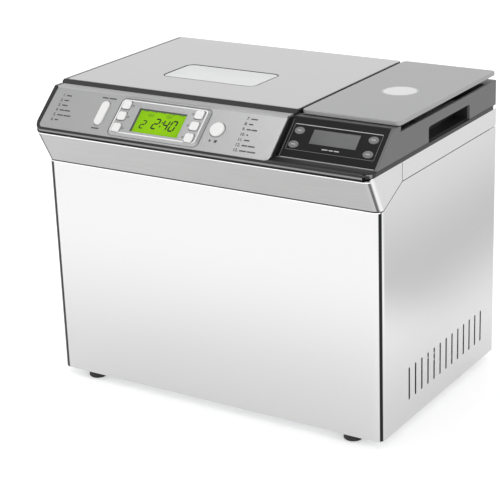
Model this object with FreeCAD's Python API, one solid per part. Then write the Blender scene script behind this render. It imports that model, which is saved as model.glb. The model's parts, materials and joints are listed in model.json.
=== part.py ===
# Bread machine with a kitchen scale on top, twin paddles and a horizontal pan.
# Millimetres. +Z is up, the front faces -Y, and +X is to the right seen from the front.
# The origin is the middle of the whole machine's footprint on the surface that it stands on.
import FreeCAD, Part
import math
import os

from FreeCAD import Vector

os.makedirs("parts", exist_ok=True)

# ---------------------------------------------------------------- driving dimensions
# outer casing
width = 400.0                # steel casing, left to right
shell_depth = 261.0          # steel casing, front sheet to rear edge
brow_reach = 19.0            # how far the brow leans out in front of the front sheet
foot_height = 8.0
front_height = 240.5         # front sheet, from its lower edge to the seam under the brow
brow_rise = 35.0             # brow, from that seam to the black rim
cap_height = 44.5            # brow's top to the top of the lid
band_bottom_drop = 60.7      # seam under the side bands, below the top of the machine
band_top_drop = 41.5         # top of the side bands, below the top of the machine
ear_length = 46.0            # side of the brow, from the front sheet to the vertical seam
sheet = 0.6                  # steel sheet
corner_radius = 9.0          # outer bend of the casing's front corners
seam = 0.8                   # visible gap between two sheets
rear_inset = 2.0             # rear sheet lies this far inside the casing's rear edge
flange = 12.0                # folded edge of the rear sheet

# ventilation slots
vent_pitch = 14.1
vent_first = 60.0            # first slot, behind the front sheet
vent_end = 31.0              # least distance from the last slot to the rear edge
vent_bottom = 23.0           # above the casing's lower edge
vent_length = 35.5
vent_width = 3.0
rear_vent_rows = 7
rear_vent_pitch = 9.0
rear_vent_length = 60.0

# base and feet
tray_sheet = 1.0
tray_flange = 16.0
foot_radius = 10.0
foot_inset_x = 38.5          # foot centre from the casing's side
foot_inset_y = 12.0          # foot centre from the front sheet or the rear edge

# rear sheet's screws and the mains lead's gland
screw_radius = 1.6
screw_hole = 1.7
gland_inset = 50.0           # gland to the casing's right side
gland_height = 34.0          # above the casing's lower edge
gland_radius = 8.0
gland_bore = 3.8

# black upper frame
rim_height = 3.9             # rim that lies on the steel bands
rim_width = 6.0
wall = 2.5                   # plastic walls
nose_radius = 3.4
deck_top_drop = 16.5         # deck round the baking chamber, below the top of the machine
rear_wall_drop = 12.5        # top of the rear wall, below the top of the machine
lid_seat_drop = 4.5          # underside of the lid plate, below the top of the machine

# control panel
panel_slope = 41.3           # degrees from level
panel_foot_height = 4.5      # lower end of the panel plane, above the brow's top
panel_length = 55.3          # up the slope
panel_left_margin = 5.0      # black rim left of the silver plate
panel_low_margin = 2.5
faceplate = 2.0              # silver plate's thickness
faceplate_corner = 5.35
faceplate_gap = 0.15         # between the silver plate and its seat

# display module on the control panel; x is measured from the middle of the lid's bay
display_x = (-51.2, 59.2)
display_s = (5.4, 50.5)
display_height = 2.5
display_bevel = 2.6
display_corner = 6.0
lcd_x = (-24.2, 34.3)
lcd_s = (11.5, 40.0)
lcd_sink = 1.4               # the LCD's face below the module's top
lcd_depth = 5.0
key_size = 9.8
key_corner = 2.4
key_proud = 1.5
key_rows = (41.3, 27.7, 13.7)
key_left_x = -41.2
key_right_x = 48.1
key_stem = 9.0
key_gap = 0.4
start_x = 73.9
start_s = 28.9
start_radius = 8.0
start_proud = 2.2
rocker_x = -68.7
rocker_s = 29.0
rocker_length = 28.9
rocker_width = 10.0
rocker_proud = 2.0
rocker_gap = 0.7
rocker_axis_sink = 3.5       # pivot below the silver plate's face
rocker_pin_radius = 1.5
rocker_pin_length = 17.0
running_clearance = 0.05
board_sink = 14.0            # circuit board below the panel's face
board = 1.6

# scale: front panel, housing, platform; what lies left is measured from the wall beside
# the baking chamber, and what lies right from the casing's right side
scale_bay = 111.5            # casing's right side to the wall between scale and baking chamber
scale_slope = 42.6
scale_foot_behind = 14.6     # lower end of the scale panel plane, behind the nose
scale_foot_drop = 36.7       # and below the top of the machine
scale_length = 46.4
scale_step_back = 14.0       # level ledge behind the scale panel
scale_wall = 2.8
scale_side_inset = 0.5
scale_wall_drop = 11.0       # top of the side wall, below the top of the machine
scale_shelf_length = 21.0    # solid shelf at the rear
scale_lcd_left = 29.0
scale_lcd_right = 31.0
scale_lcd_s = (19.0, 35.7)
scale_left_keys = ((14.8, 31.6), (14.1, 15.8))
scale_right_keys = ((16.0, 32.0), (16.2, 16.0))
scale_key_rx = 5.5
scale_key_ry = 4.0
scale_key_proud = 0.8
scale_key_gap = 0.4
scale_deck_drop = 27.5       # black floor below the platform, below the top
plate_gap = 3.0              # between the lid and the platform
plate_overhang = 1.0         # lid and platform past the casing's sides
plate_thickness = 4.0
plate_front_gap = 5.0        # platform's front edge to the step in the housing, overlapping it
plate_rear_margin = 4.0
plate_corner = 5.0
badge_radius = 18.5
badge_height = 0.4
badge_x = -51.5
badge_forward = 7.0          # in front of the platform's middle
pad_inset_x = 14.0
pad_inset_y = 36.0
cell_width = 12.7
cell_boss = 2.5
cell_length = 80.0
platform_travel_room = 0.9
spider_height = 3.8
spider_plate = 2.6

# carrying grips
grip_front = 103.0           # behind the front sheet
grip_length = 93.5
grip_height = 16.2
grip_depth = 17.0
grip_wall = 1.4
grip_corner = 3.0

# lid
lid_over_wall = 2.0          # lid's right edge past the wall beside the scale
lid_nose_reach = 6.0         # black nose in front of the steel skin
lid_skin = 0.6
lid_skin_left = 5.0
lid_front_margin = 58.0      # steel skin's front edge behind the nose of the machine
lid_rear_margin = 5.0
lid_corner = 4.0
lid_skirt_inset = 7.0
window_x = (-56.2, 59.8)     # from the middle of the lid's bay
window_y = (53.0, 109.0)     # behind the steel skin's front edge
window_corner = 9.0
window_glass = 3.4
sleeve_inset = 3.0
hinge_inset = 7.5            # hinge axis in front of the rear edge
hinge_drop = 8.2             # hinge axis below the top of the machine
hinge_pin_radius = 2.0
hinge_spread = 190.0
hinge_lug = 9.0
hinge_ear_radius = 3.3
hinge_lug_radius = 4.0
hinge_ear = 4.0
hinge_side_gap = 0.4

# baking chamber
chamber_side_margin = 28.0   # chamber to the casing's left side and to the wall beside the scale
chamber_front_margin = 18.0  # behind the steel skin's front edge
chamber_rear_margin = 22.0
chamber_corner = 22.0
chamber_floor = 70.0         # above the surface that the machine stands on
chamber_flange = 6.0
element_radius = 3.5
element_height = 22.0        # above the chamber's floor
element_gap = 5.5            # element tube to the chamber wall
element_corner = 26.0
element_terminal_spread = 24.0
element_tail = 24.0
element_pin = 8.0
sensor_radius = 3.0
sensor_height = 80.0
lamp_radius = 15.0
lamp_drop = 51.0             # lamp below the deck

# pan, shafts and paddles
pan_side_room = 18.0         # pan's foot to the chamber's wall, round the heating element
pan_corner = 24.0
pan_draft = 3.0              # the pan is this much larger all round at its rim
pan_wall = 1.6
pan_bottom = 14.0            # above the chamber's floor
pan_height = 121.0
pan_rim = 4.0
pan_rest_gap = 0.3
collar_inset_x = 18.0        # collar under the pan, from the pan's edge
collar_inset_y = 41.0
shaft_inset = 50.0           # shaft to the pan's end
shaft_radius = 4.0
boss_radius = 9.0
boss_height = 8.0
dog_radius = 13.0
dog_gap = 0.4
bar_height = 5.0
bail_radius = 2.5
bail_drop = 14.0             # bail pivot below the rim
bail_clearance = 0.8         # bail's arm to the pan's rim
paddle_end_room = 8.75       # paddle's tip to the end of the pan's foot
paddle_blade = 5.0
paddle_blade_height = 30.0
paddle_hub_radius = 8.0
paddle_hub_height = 19.0

# drive under the chamber
bracket_plate = 3.0
bearing_radius = 7.0
bearing_length = 18.0
large_pulley_radius = 42.0
small_pulley_radius = 20.0
motor_pulley_radius = 10.5
pulley_flange = 2.5
belt = 2.0
belt_gap = 0.3
belt_width = 9.6
drive_belt_bottom = 23.2
coupling_belt_bottom = 38.2
motor_shift = 6.25           # motor's shaft, left of the middle between the element's pins and the casing
motor_stack = 72.0
motor_stack_height = 34.0
motor_stack_bottom = 60.0
rotor_radius = 16.0
air_gap = 1.0

# ---------------------------------------------------------------- derived places
half = width / 2
total_height = foot_height + front_height + brow_rise + cap_height
y_nose = -(shell_depth + brow_reach) / 2
y_rear = -y_nose
y_front = y_nose + brow_reach
y_ear = y_front + ear_length
z_shell = foot_height
z_seam = z_shell + front_height
z_brow = z_seam + brow_rise
z_band = total_height - band_bottom_drop
z_rim = total_height - band_top_drop
z_rim_top = z_rim + rim_height
z_deck = total_height - deck_top_drop
z_rear_wall = total_height - rear_wall_drop
z_lid_seat = total_height - lid_seat_drop
z_panel_foot = z_brow + panel_foot_height
slope = math.radians(panel_slope)
y_panel_top = y_nose + panel_length * math.cos(slope)
z_panel_top = z_panel_foot + panel_length * math.sin(slope)
scale_angle = math.radians(scale_slope)
y_scale_foot = y_nose + scale_foot_behind
z_scale_foot = total_height - scale_foot_drop
y_scale_top = y_scale_foot + scale_length * math.cos(scale_angle)
z_scale_top = z_scale_foot + scale_length * math.sin(scale_angle)
y_scale_step = y_scale_top + scale_step_back
z_scale_wall = total_height - scale_wall_drop
z_scale_deck = total_height - scale_deck_drop
scale_right = half - scale_side_inset
scale_lcd_x = (scale_lcd_left - scale_bay, -scale_lcd_right)
scale_key_places = [(x - scale_bay, s) for x, s in scale_left_keys] + [(-x, s) for x, s in scale_right_keys]
y_skin = y_nose + lid_front_margin
y_lid_nose = y_skin - lid_nose_reach
y_lid_rear = y_rear - lid_rear_margin
z_hinge = total_height - hinge_drop
z_pan = chamber_floor + pan_bottom
z_pan_rim = z_pan + pan_height
scale_left = half - scale_bay
bay_x = (scale_left - half) / 2
lid_right = scale_left + lid_over_wall
plate_left = lid_right + plate_gap
hinge_y = y_rear - hinge_inset
hinge_places = (bay_x - hinge_spread / 2, bay_x + hinge_spread / 2)
chamber_x = bay_x
chamber_length = scale_left + half - 2 * chamber_side_margin
chamber_depth = y_rear - chamber_rear_margin - y_skin - chamber_front_margin
chamber_y = y_skin + chamber_front_margin + chamber_depth / 2
pan_length = chamber_length - 2 * pan_side_room
pan_depth = chamber_depth - 2 * pan_side_room
shaft_spacing = pan_length - 2 * shaft_inset
paddle_reach = shaft_inset - paddle_end_room
element_end = chamber_x + chamber_length / 2 + element_tail
motor_x = (element_end + element_pin + half) / 2 - motor_shift
gland_x = half - gland_inset
gland_z = z_shell + gland_height
motor_y = chamber_y
cell_x = (plate_left + half + plate_overhang) / 2
z_lamp = z_deck - lamp_drop
vent_count = int((shell_depth - vent_first - vent_end) / vent_pitch) + 1
shaft_places = {"left": chamber_x - shaft_spacing / 2, "right": chamber_x + shaft_spacing / 2}
nodes = {}


# ---------------------------------------------------------------- helpers
def box(x0, x1, y0, y1, z0, z1):
    return Part.makeBox(x1 - x0, y1 - y0, z1 - z0, Vector(x0, y0, z0))


def cylinder(x, y, z0, z1, radius):
    return Part.makeCylinder(radius, z1 - z0, Vector(x, y, z0))


def rod_x(x0, x1, y, z, radius):
    return Part.makeCylinder(radius, x1 - x0, Vector(x0, y, z), Vector(1, 0, 0))


def rod_y(x, y0, y1, z, radius):
    return Part.makeCylinder(radius, y1 - y0, Vector(x, y0, z), Vector(0, 1, 0))


def prism_x(points, x0, x1):
    corners = [Vector(x0, y, z) for y, z in points]
    face = Part.Face(Part.makePolygon(corners + corners[:1]))
    return face.extrude(Vector(x1 - x0, 0, 0))


def rounded_wire(x0, x1, y0, y1, z, radius):
    r = min(radius, (x1 - x0) / 2 - 0.01, (y1 - y0) / 2 - 0.01)
    k = r * (1 - math.sqrt(0.5))
    edges = [
        Part.LineSegment(Vector(x0 + r, y0, z), Vector(x1 - r, y0, z)).toShape(),
        Part.Arc(Vector(x1 - r, y0, z), Vector(x1 - k, y0 + k, z), Vector(x1, y0 + r, z)).toShape(),
        Part.LineSegment(Vector(x1, y0 + r, z), Vector(x1, y1 - r, z)).toShape(),
        Part.Arc(Vector(x1, y1 - r, z), Vector(x1 - k, y1 - k, z), Vector(x1 - r, y1, z)).toShape(),
        Part.LineSegment(Vector(x1 - r, y1, z), Vector(x0 + r, y1, z)).toShape(),
        Part.Arc(Vector(x0 + r, y1, z), Vector(x0 + k, y1 - k, z), Vector(x0, y1 - r, z)).toShape(),
        Part.LineSegment(Vector(x0, y1 - r, z), Vector(x0, y0 + r, z)).toShape(),
        Part.Arc(Vector(x0, y0 + r, z), Vector(x0 + k, y0 + k, z), Vector(x0 + r, y0, z)).toShape(),
    ]
    return Part.Wire(edges)


def rounded_box(x0, x1, y0, y1, z0, z1, radius):
    face = Part.Face(rounded_wire(x0, x1, y0, y1, z0, radius))
    return face.extrude(Vector(0, 0, z1 - z0))


def rounded_loft(low, high, z0, z1, radius_low, radius_high):
    wires = [rounded_wire(*low, z0, radius_low), rounded_wire(*high, z1, radius_high)]
    return Part.makeLoft(wires, True, True)


def grown(x0, x1, y0, y1, by):
    return x0 - by, x1 + by, y0 - by, y1 + by


def on_panel(shape):
    # local x runs from the middle of the lid's bay, local y up the control panel's slope,
    # and local z stands out of its face
    turned = shape.copy()
    turned.rotate(Vector(0, 0, 0), Vector(1, 0, 0), panel_slope)
    turned.translate(Vector(bay_x, y_nose, z_panel_foot))
    return turned


def on_scale_panel(shape):
    # the same on the scale's panel, with local x from the casing's right side
    turned = shape.copy()
    turned.rotate(Vector(0, 0, 0), Vector(1, 0, 0), scale_slope)
    turned.translate(Vector(half, y_scale_foot, z_scale_foot))
    return turned


def edges_where(shape, test):
    found = []
    for edge in shape.Edges:
        ends = [vertex.Point for vertex in edge.Vertexes]
        if len(ends) == 2 and test(ends[0], ends[1]):
            found.append(edge)
    return found


def top_edges(shape, z):
    return [edge for edge in shape.Edges if abs(edge.BoundBox.ZMin - z) < 0.01]


def fuse(first, *others):
    return first.multiFuse(list(others)).removeSplitter()


def cut(first, *others):
    return first.cut(list(others))


def add(name, *shapes):
    nodes[name] = shapes[0] if len(shapes) == 1 else Part.makeCompound(list(shapes))


# ---------------------------------------------------------------- steel casing
def seam_line(offset):
    # the seam between the casing's wrap and the brow and side bands, seen from the side
    return [
        (y_nose - 20, z_seam + offset),
        (y_front + corner_radius - 2, z_seam + offset),
        (y_ear, z_band + offset),
        (y_rear + 20, z_band + offset),
    ]


def slot_y(y, z0, z1, x0, x1):
    straight = box(x0, x1, y - vent_width / 2, y + vent_width / 2, z0 + vent_width / 2, z1 - vent_width / 2)
    low = rod_x(x0, x1, y, z0 + vent_width / 2, vent_width / 2)
    high = rod_x(x0, x1, y, z1 - vent_width / 2, vent_width / 2)
    return fuse(straight, low, high)


def body_wrap():
    outer = rounded_box(-half, half, y_front, y_rear + 30, z_shell, z_rim, corner_radius)
    inner = rounded_box(
        -half + sheet, half - sheet, y_front + sheet, y_rear + 40,
        z_shell - 1, z_rim + 1, corner_radius - sheet
    )
    behind = box(-half - 1, half + 1, y_rear, y_rear + 50, z_shell - 1, z_rim + 1)
    above = prism_x(seam_line(-seam / 2) + [(y_rear + 20, z_rim + 20), (y_nose - 20, z_rim + 20)],
                    -half - 1, half + 1)
    wrap = cut(outer, inner, behind, above)
    slots = []
    for i in range(vent_count):
        y = y_front + vent_first + i * vent_pitch
        z = z_shell + vent_bottom
        slots.append(slot_y(y, z, z + vent_length, -half - 1, half + 1))
    add("body_wrap", cut(wrap, *slots))


def brow_cap():
    corner = (y_nose + brow_reach * 0.3, z_rim)
    outline = [
        (y_front, z_seam + seam / 2),
        (y_nose + 0.5, z_brow),
        corner,
        (y_ear - seam / 2, z_rim),
        (y_ear - seam / 2, z_band + seam / 2),
        (y_front + corner_radius - 2, z_seam + seam / 2),
    ]
    outer = prism_x(outline, -half, half)
    front_ends = edges_where(outer, lambda a, b: abs(a.x - b.x) < 0.01
                             and min(a.y, b.y) < y_nose + 0.6 and max(a.y, b.y) < y_front + 0.1
                             and abs(a.z - b.z) > brow_rise / 2)
    outer = outer.makeFillet(corner_radius, front_ends)
    lean = math.atan2(brow_reach - 0.5, brow_rise)
    inset = sheet / math.cos(lean)
    over = 12.0
    run = over * math.tan(lean)
    hollow = [
        (y_front + inset + run, z_seam - over),
        (y_nose + 0.5 + inset - run, z_brow + over),
        (y_ear + 10, z_brow + over),
        (y_ear + 10, z_seam - over),
    ]
    inner = prism_x(hollow, -half + sheet, half - sheet)
    inner_ends = edges_where(inner, lambda a, b: abs(a.x - b.x) < 0.01
                             and max(a.y, b.y) < y_ear and abs(a.z - b.z) > brow_rise / 2)
    inner = inner.makeFillet(corner_radius - sheet, inner_ends)
    add("brow_cap", cut(outer, inner))


def side_bands():
    bands = []
    for side in (-1, 1):
        x0, x1 = sorted((side * half, side * (half - sheet)))
        f0, f1 = sorted((side * (half - sheet), side * (half - rim_width)))
        upright = box(x0, x1, y_ear + seam / 2, y_rear, z_band + seam / 2, z_rim)
        fold = box(f0, f1, y_ear + seam / 2, y_rear - rear_inset - 1, z_rim - sheet, z_rim)
        bands.append(fuse(upright, fold))
    add("side_bands", *bands)


def screw_places():
    places = []
    for x in (-half + 14, half - 14):
        for z in (z_shell + 14, z_shell + 130, z_band + 6):
            places.append((x, z))
    return places


def rear_panel():
    y1 = y_rear - rear_inset
    y0 = y1 - sheet
    edge = half - sheet - 0.2
    back = box(-edge, edge, y0, y1, z_shell + tray_sheet + 0.2, z_rim - sheet - 0.2)
    folds = []
    for side in (-1, 1):
        x0, x1 = sorted((side * edge, side * (edge - sheet)))
        folds.append(box(x0, x1, y0 - flange, y0, z_shell + tray_flange + 2, z_rim - sheet - 0.2))
    holes = [rod_y(x, y0 - 2, y1 + 2, z, screw_hole) for x, z in screw_places()]
    holes.append(rod_y(gland_x, y0 - 2, y1 + 2, gland_z, gland_radius))
    for i in range(rear_vent_rows):
        z = z_shell + 90 + i * rear_vent_pitch
        for x in (-110.0, 120.0):
            x0 = x - rear_vent_length / 2
            slot = box(x0, x0 + rear_vent_length, y0 - 2, y1 + 2, z - vent_width / 2, z + vent_width / 2)
            ends = [rod_y(x0 + e, y0 - 2, y1 + 2, z, vent_width / 2) for e in (0, rear_vent_length)]
            holes.append(fuse(slot, *ends))
    add("rear_panel", cut(fuse(back, *folds), *holes))


def case_screws():
    screws = []
    face = y_rear - rear_inset
    for x, z in screw_places():
        shank = rod_y(x, face - 9, face, z, screw_radius)
        head = rod_y(x, face, face + 1.6, z, 3.2)
        cross = fuse(box(x - 2, x + 2, face + 0.8, face + 2, z - 0.4, z + 0.4),
                     box(x - 0.4, x + 0.4, face + 0.8, face + 2, z - 2, z + 2))
        screws.append(fuse(shank, head).cut(cross))
    add("case_screws", *screws)


def cord_gland():
    face = y_rear - rear_inset
    collar = rod_y(gland_x, face, y_rear, gland_z, gland_radius + 3)
    neck = rod_y(gland_x, face - 8, face, gland_z, gland_radius)
    bore = rod_y(gland_x, face - 9, y_rear + 1, gland_z, gland_bore)
    add("cord_gland", cut(fuse(collar, neck), bore))


def foot_places():
    return [(side * (half - foot_inset_x), y) for side in (-1, 1)
            for y in (y_front + foot_inset_y, y_rear - foot_inset_y - 10)]


def base_tray():
    gap = sheet + 0.3
    x1 = half - gap
    y0, y1 = y_front + gap, y_rear - rear_inset - sheet - 0.3
    outer = rounded_box(-x1, x1, y0, y1, z_shell, z_shell + tray_flange, corner_radius - gap)
    inner = rounded_box(-x1 + tray_sheet, x1 - tray_sheet, y0 + tray_sheet, y1 - tray_sheet,
                        z_shell + tray_sheet, z_shell + tray_flange + 1, corner_radius - gap - tray_sheet)
    holes = []
    for i in range(9):
        x = motor_x - 32 + i * 8
        holes.append(rounded_box(x - 1.5, x + 1.5, motor_y + 45, motor_y + 90, z_shell - 1, z_shell + 3, 1.4))
        holes.append(rounded_box(x - 1.5, x + 1.5, motor_y - 90, motor_y - 55, z_shell - 1, z_shell + 3, 1.4))
    holes += [rod_y(x, y1 - 3, y1 + 1, z, screw_hole) for x, z in screw_places()]
    add("base_tray", cut(outer, inner, *holes))


def feet():
    blocks = []
    for x, y in foot_places():
        foot = cylinder(x, y, 0, foot_height, foot_radius)
        low_edge = [e for e in foot.Edges if abs(e.BoundBox.ZMax) < 0.01]
        foot = foot.makeChamfer(1.2, low_edge)
        blocks.append(foot.cut(cylinder(x, y, -1, 3, foot_radius * 0.35)))
    add("feet", *blocks)


# ---------------------------------------------------------------- black upper frame
def chamber_box(by=0.0):
    return grown(
        chamber_x - chamber_length / 2, chamber_x + chamber_length / 2,
        chamber_y - chamber_depth / 2, chamber_y + chamber_depth / 2, by,
    )


def grip_window(x0, x1):
    # opening for a hand in a side wall; it runs down to the rim
    y0 = y_front + grip_front
    hole = rounded_box(0, grip_height + 10, 0, grip_length, 0, x1 - x0, grip_corner)
    hole.rotate(Vector(0, 0, 0), Vector(0, 1, 0), -90)
    hole.translate(Vector(x1, y0, z_rim_top + grip_height - hole.BoundBox.ZMax))
    return hole.cut(box(x0 - 1, x1 + 1, y0 - 1, y0 + grip_length + 1, z_rim, z_rim_top))


def grip_cups():
    cups = []
    y0 = y_front + grip_front
    y1 = y0 + grip_length
    z1 = z_rim_top + grip_height
    for side, face in ((-1, half - wall), (1, scale_right - scale_wall)):
        x0, x1 = sorted((side * face, side * (face - grip_depth)))
        i0, i1 = sorted((side * (face + 1), side * (face - grip_depth + grip_wall)))
        outer = box(x0, x1, y0 - grip_wall, y1 + grip_wall, z_rim_top, z1 + grip_wall)
        inner = box(i0, i1, y0, y1, z_rim_top + 1.0, z1)
        cups.append(cut(outer, inner))
    add("grip_cups", *cups)


def rim():
    # ring on the steel bands, with a rounded nose along the front
    nose_y = y_nose + nose_radius
    outer = rounded_box(-half, half, nose_y, y_rear, z_rim, z_rim_top, corner_radius)
    inner = rounded_box(-half + rim_width, half - rim_width, nose_y + rim_width, y_rear - rim_width,
                        z_rim - 1, z_rim_top + 1, 4)
    nose_z = z_brow + nose_radius + 0.3
    nose_end = half - corner_radius + 0.5
    nose = rod_x(-nose_end, nose_end, nose_y, nose_z, nose_radius)
    balls = [Part.makeSphere(nose_radius, Vector(side * nose_end, nose_y, nose_z)) for side in (-1, 1)]
    under = box(-half + corner_radius, half - corner_radius, nose_y, nose_y + rim_width,
                z_brow + 0.3, z_rim_top)
    return [cut(outer, inner), nose, under] + balls


def front_wedge():
    # carries the silver plate; open inside for the control board
    outline = [
        (y_nose + nose_radius, z_rim_top - 0.5),
        (y_nose + 0.6, z_panel_foot),
        (y_panel_top - faceplate * math.tan(slope / 2), z_panel_top),
        (y_lid_nose - 0.6, z_panel_top),
        (y_lid_nose - 0.6, z_lid_seat - 0.3),
        (y_skin + 1.0, z_lid_seat - 0.3),
        (y_skin + 1.0, z_rim_top - 0.5),
    ]
    under_plate = z_panel_top - faceplate / math.cos(slope) - faceplate - wall
    inside = [
        (y_nose + nose_radius + rim_width, z_rim_top - 2),
        (y_nose + 6 + wall, z_panel_foot + 1.5),
        (y_panel_top + 1, under_plate),
        (y_skin + 1.0 - wall, under_plate),
        (y_skin + 1.0 - wall, z_rim_top - 2),
    ]
    plan = rounded_box(-half, half, y_nose, y_rear, z_rim, total_height, corner_radius)
    solid = prism_x(outline, -half, scale_left).common(plan)
    return solid.cut(prism_x(inside, -half + wall, scale_left - wall))


def plate_seat():
    # pocket for the silver plate, and the window behind it for the display and the keys
    left = -half + panel_left_margin - bay_x
    right = scale_left - bay_x
    pocket = rounded_box(left, right, panel_low_margin, panel_length + 20, -faceplate, 20,
                         faceplate_corner + faceplate_gap)
    level_seat = box(-half + panel_left_margin, scale_left + 1, y_panel_top - 6, y_lid_nose + 0.01,
                     z_panel_top - faceplate, z_panel_top + 5)
    window = on_panel(box(left + 6, right - wall - 3, panel_low_margin + 4, panel_length - 5, -12, 1))
    beside = box(scale_left, half + 10, y_nose - 10, y_rear, z_rim, total_height + 50)
    return [on_panel(pocket).cut(beside), level_seat, window]


def hinge_ears():
    ears = []
    for x in hinge_places:
        for side in (-1, 1):
            x0 = x + side * (hinge_lug / 2 + hinge_side_gap)
            a, b = sorted((x0, x0 + side * hinge_ear))
            web = box(a, b, hinge_y - hinge_ear_radius, hinge_y + hinge_ear_radius, z_deck - 1, z_hinge)
            rib = box(a, b, hinge_y, y_rear - wall + 0.5, z_deck - 1, z_rear_wall - 1)
            ears.append(fuse(web, rib, rod_x(a, b, hinge_y, z_hinge, hinge_ear_radius)))
    return ears


def frame_walls():
    left = box(-half, -half + wall, y_skin, y_rear, z_rim_top - 1, z_lid_seat - 0.5)
    lid_swing = box(-half - 1, half, hinge_y - 3, y_rear + 1, z_rear_wall, z_lid_seat + 1)
    rear = box(-half, scale_left, y_rear - wall, y_rear, z_rim_top - 1, z_rear_wall)
    middle = box(scale_left - wall, scale_left, y_skin, y_rear - 1, z_rim_top - 3, z_scale_wall)
    deck = box(-half + 1, scale_left - 1, y_skin, y_rear - 1, z_deck - wall, z_deck)
    return [left.cut(lid_swing), rear, middle.cut(lid_swing), deck]


def scale_tray():
    # floor under the platform, its legs, the load cell's boss, and the shelf in front of the scale's panel
    inner_right = scale_right - scale_wall - 0.3
    y1 = y_rear - scale_shelf_length
    floor = box(scale_left - 1, inner_right, y_scale_step + 0.3, y1, z_scale_deck - wall, z_scale_deck)
    boss = box(cell_x - cell_width / 2, cell_x + cell_width / 2, chamber_y - cell_length / 2,
               chamber_y - cell_length / 2 + 18, z_scale_deck - 1, z_scale_deck + cell_boss)
    front_leg = box(scale_left - 1, scale_left + 8, y_scale_step + 1, y_scale_step + 5, z_rim_top - 2,
                    z_scale_deck - 1)
    rear_leg = box(scale_left - 1, scale_left + 8, y1 - 5, y1 - 1, z_rim_top - 2, z_scale_deck - 1)
    side_legs = [box(inner_right - 3, inner_right, y, y + 4, z_rim_top - 1, z_scale_deck - 1)
                 for y in (y_scale_step + 1, y1 - 6)]
    y0 = y_front + grip_front
    cup_room = box(inner_right - grip_depth - 0.5, half, y0 - grip_wall - 0.5,
                   y0 + grip_length + grip_wall + 0.5, z_rim_top, z_scale_deck + 5)
    shelf = prism_x([
        (y_nose + nose_radius, z_rim + 0.3),
        (y_nose + 1.2, z_panel_foot - 1.0),
        (y_nose + 2.2, z_panel_foot + 0.2),
        (y_scale_foot - 0.1, z_scale_foot - 0.2),
        (y_scale_foot - 0.1, z_rim + 0.3),
    ], scale_left - 1, half - nose_radius)
    return [cut(fuse(floor, boss, front_leg, rear_leg, *side_legs), cup_room), shelf]


def upper_frame():
    whole = fuse(front_wedge(), *rim(), *frame_walls(), *scale_tray(), *hinge_ears())
    opening = rounded_box(*chamber_box(), z_deck - wall - 1, z_deck + 1, chamber_corner)
    grip = grip_window(-half - 1, -half + wall + 1)
    y0 = y_front + grip_front
    left_room = box(-half + wall, -half + wall + grip_depth + 0.5, y0 - grip_wall - 0.5,
                    y0 + grip_length + grip_wall + 0.5, z_rim_top, z_rim_top + grip_height + grip_wall + 0.1)
    pins = [rod_x(x - 12, x + 12, hinge_y, z_hinge, hinge_pin_radius) for x in hinge_places]
    add("upper_frame", cut(whole, opening, grip, left_room, *plate_seat(), *pins))


def hinge_pins():
    reach = hinge_lug / 2 + hinge_side_gap + hinge_ear
    add("hinge_pins", *[rod_x(x - reach, x + reach, hinge_y, z_hinge, hinge_pin_radius)
                        for x in hinge_places])


# ---------------------------------------------------------------- control panel
def key_places():
    names = ("upper", "middle", "lower")
    places = {}
    for column, x in (("left", key_left_x), ("right", key_right_x)):
        for name, s in zip(names, key_rows):
            places["key_" + name + "_" + column] = (x, s)
    return places


def stadium(x, s, w, length, z0, z1):
    return rounded_box(x - w / 2, x + w / 2, s - length / 2, s + length / 2, z0, z1, w / 2)


def control_faceplate():
    left = -half + panel_left_margin + faceplate_gap
    slab = rounded_box(left - bay_x, scale_left - bay_x, panel_low_margin + faceplate_gap,
                       panel_length + 20, -faceplate + 0.05, 0, faceplate_corner)
    above = box(-half - 5, half, y_nose - 5, y_rear, z_panel_top, total_height + 60)
    below = box(-half, half, y_panel_top + 0.5, y_rear, 0, z_panel_top - faceplate + 0.05)
    behind = box(-half, half, y_lid_nose - 0.8, y_rear, 0, total_height + 60)
    ledge = box(left, scale_left, y_panel_top - faceplate, y_lid_nose - 0.8, z_panel_top - faceplate + 0.05,
                z_panel_top)
    plate = fuse(cut(on_panel(slab), above, behind, below), ledge)
    holes = [
        box(lcd_x[0] - 3, lcd_x[1] + 3, lcd_s[0] - 2, lcd_s[1] + 2, -5, 3),
        cylinder(start_x, start_s, -5, 3, start_radius + key_gap),
        stadium(rocker_x, rocker_s, rocker_width + 2 * key_gap, rocker_length + 2 * rocker_gap, -5, 3),
    ]
    for x, s in key_places().values():
        r = key_size / 2 + key_gap
        holes.append(rounded_box(x - r, x + r, s - r, s + r, -5, 3, key_corner))
    ears = []
    for side in (-1, 1):
        face = rocker_width / 2 + 1.2
        a, b = sorted((rocker_x + side * face, rocker_x + side * (face + 2)))
        ear = box(a, b, rocker_s - 3, rocker_s + 3, -rocker_axis_sink - 2.6, -faceplate + 0.1)
        bore = rod_x(a - 1, b + 1, rocker_s, -rocker_axis_sink, rocker_pin_radius + running_clearance)
        ears.append(ear.cut(bore))
    crease = box(left, scale_left, y_panel_top + 0.3, y_panel_top + 0.9, z_panel_top - 0.4, z_panel_top + 1)
    plate = cut(fuse(plate, *[on_panel(ear) for ear in ears]), *[on_panel(hole) for hole in holes], crease)
    add("control_faceplate", plate)


def display_frame():
    x0, x1 = display_x
    s0, s1 = display_s
    b = display_bevel
    block = rounded_loft((x0, x1, s0, s1), (x0 + b, x1 - b, s0 + b, s1 - b), 0.05, display_height,
                         display_corner, display_corner - b * 0.6)
    holes = [rounded_box(lcd_x[0], lcd_x[1], lcd_s[0], lcd_s[1], -1, display_height + 1, 0.8)]
    for x, s in key_places().values():
        r = key_size / 2 + key_gap
        holes.append(rounded_box(x - r, x + r, s - r, s + r, -1, display_height + 1, key_corner))
    add("display_frame", on_panel(cut(block, *holes)))


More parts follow.
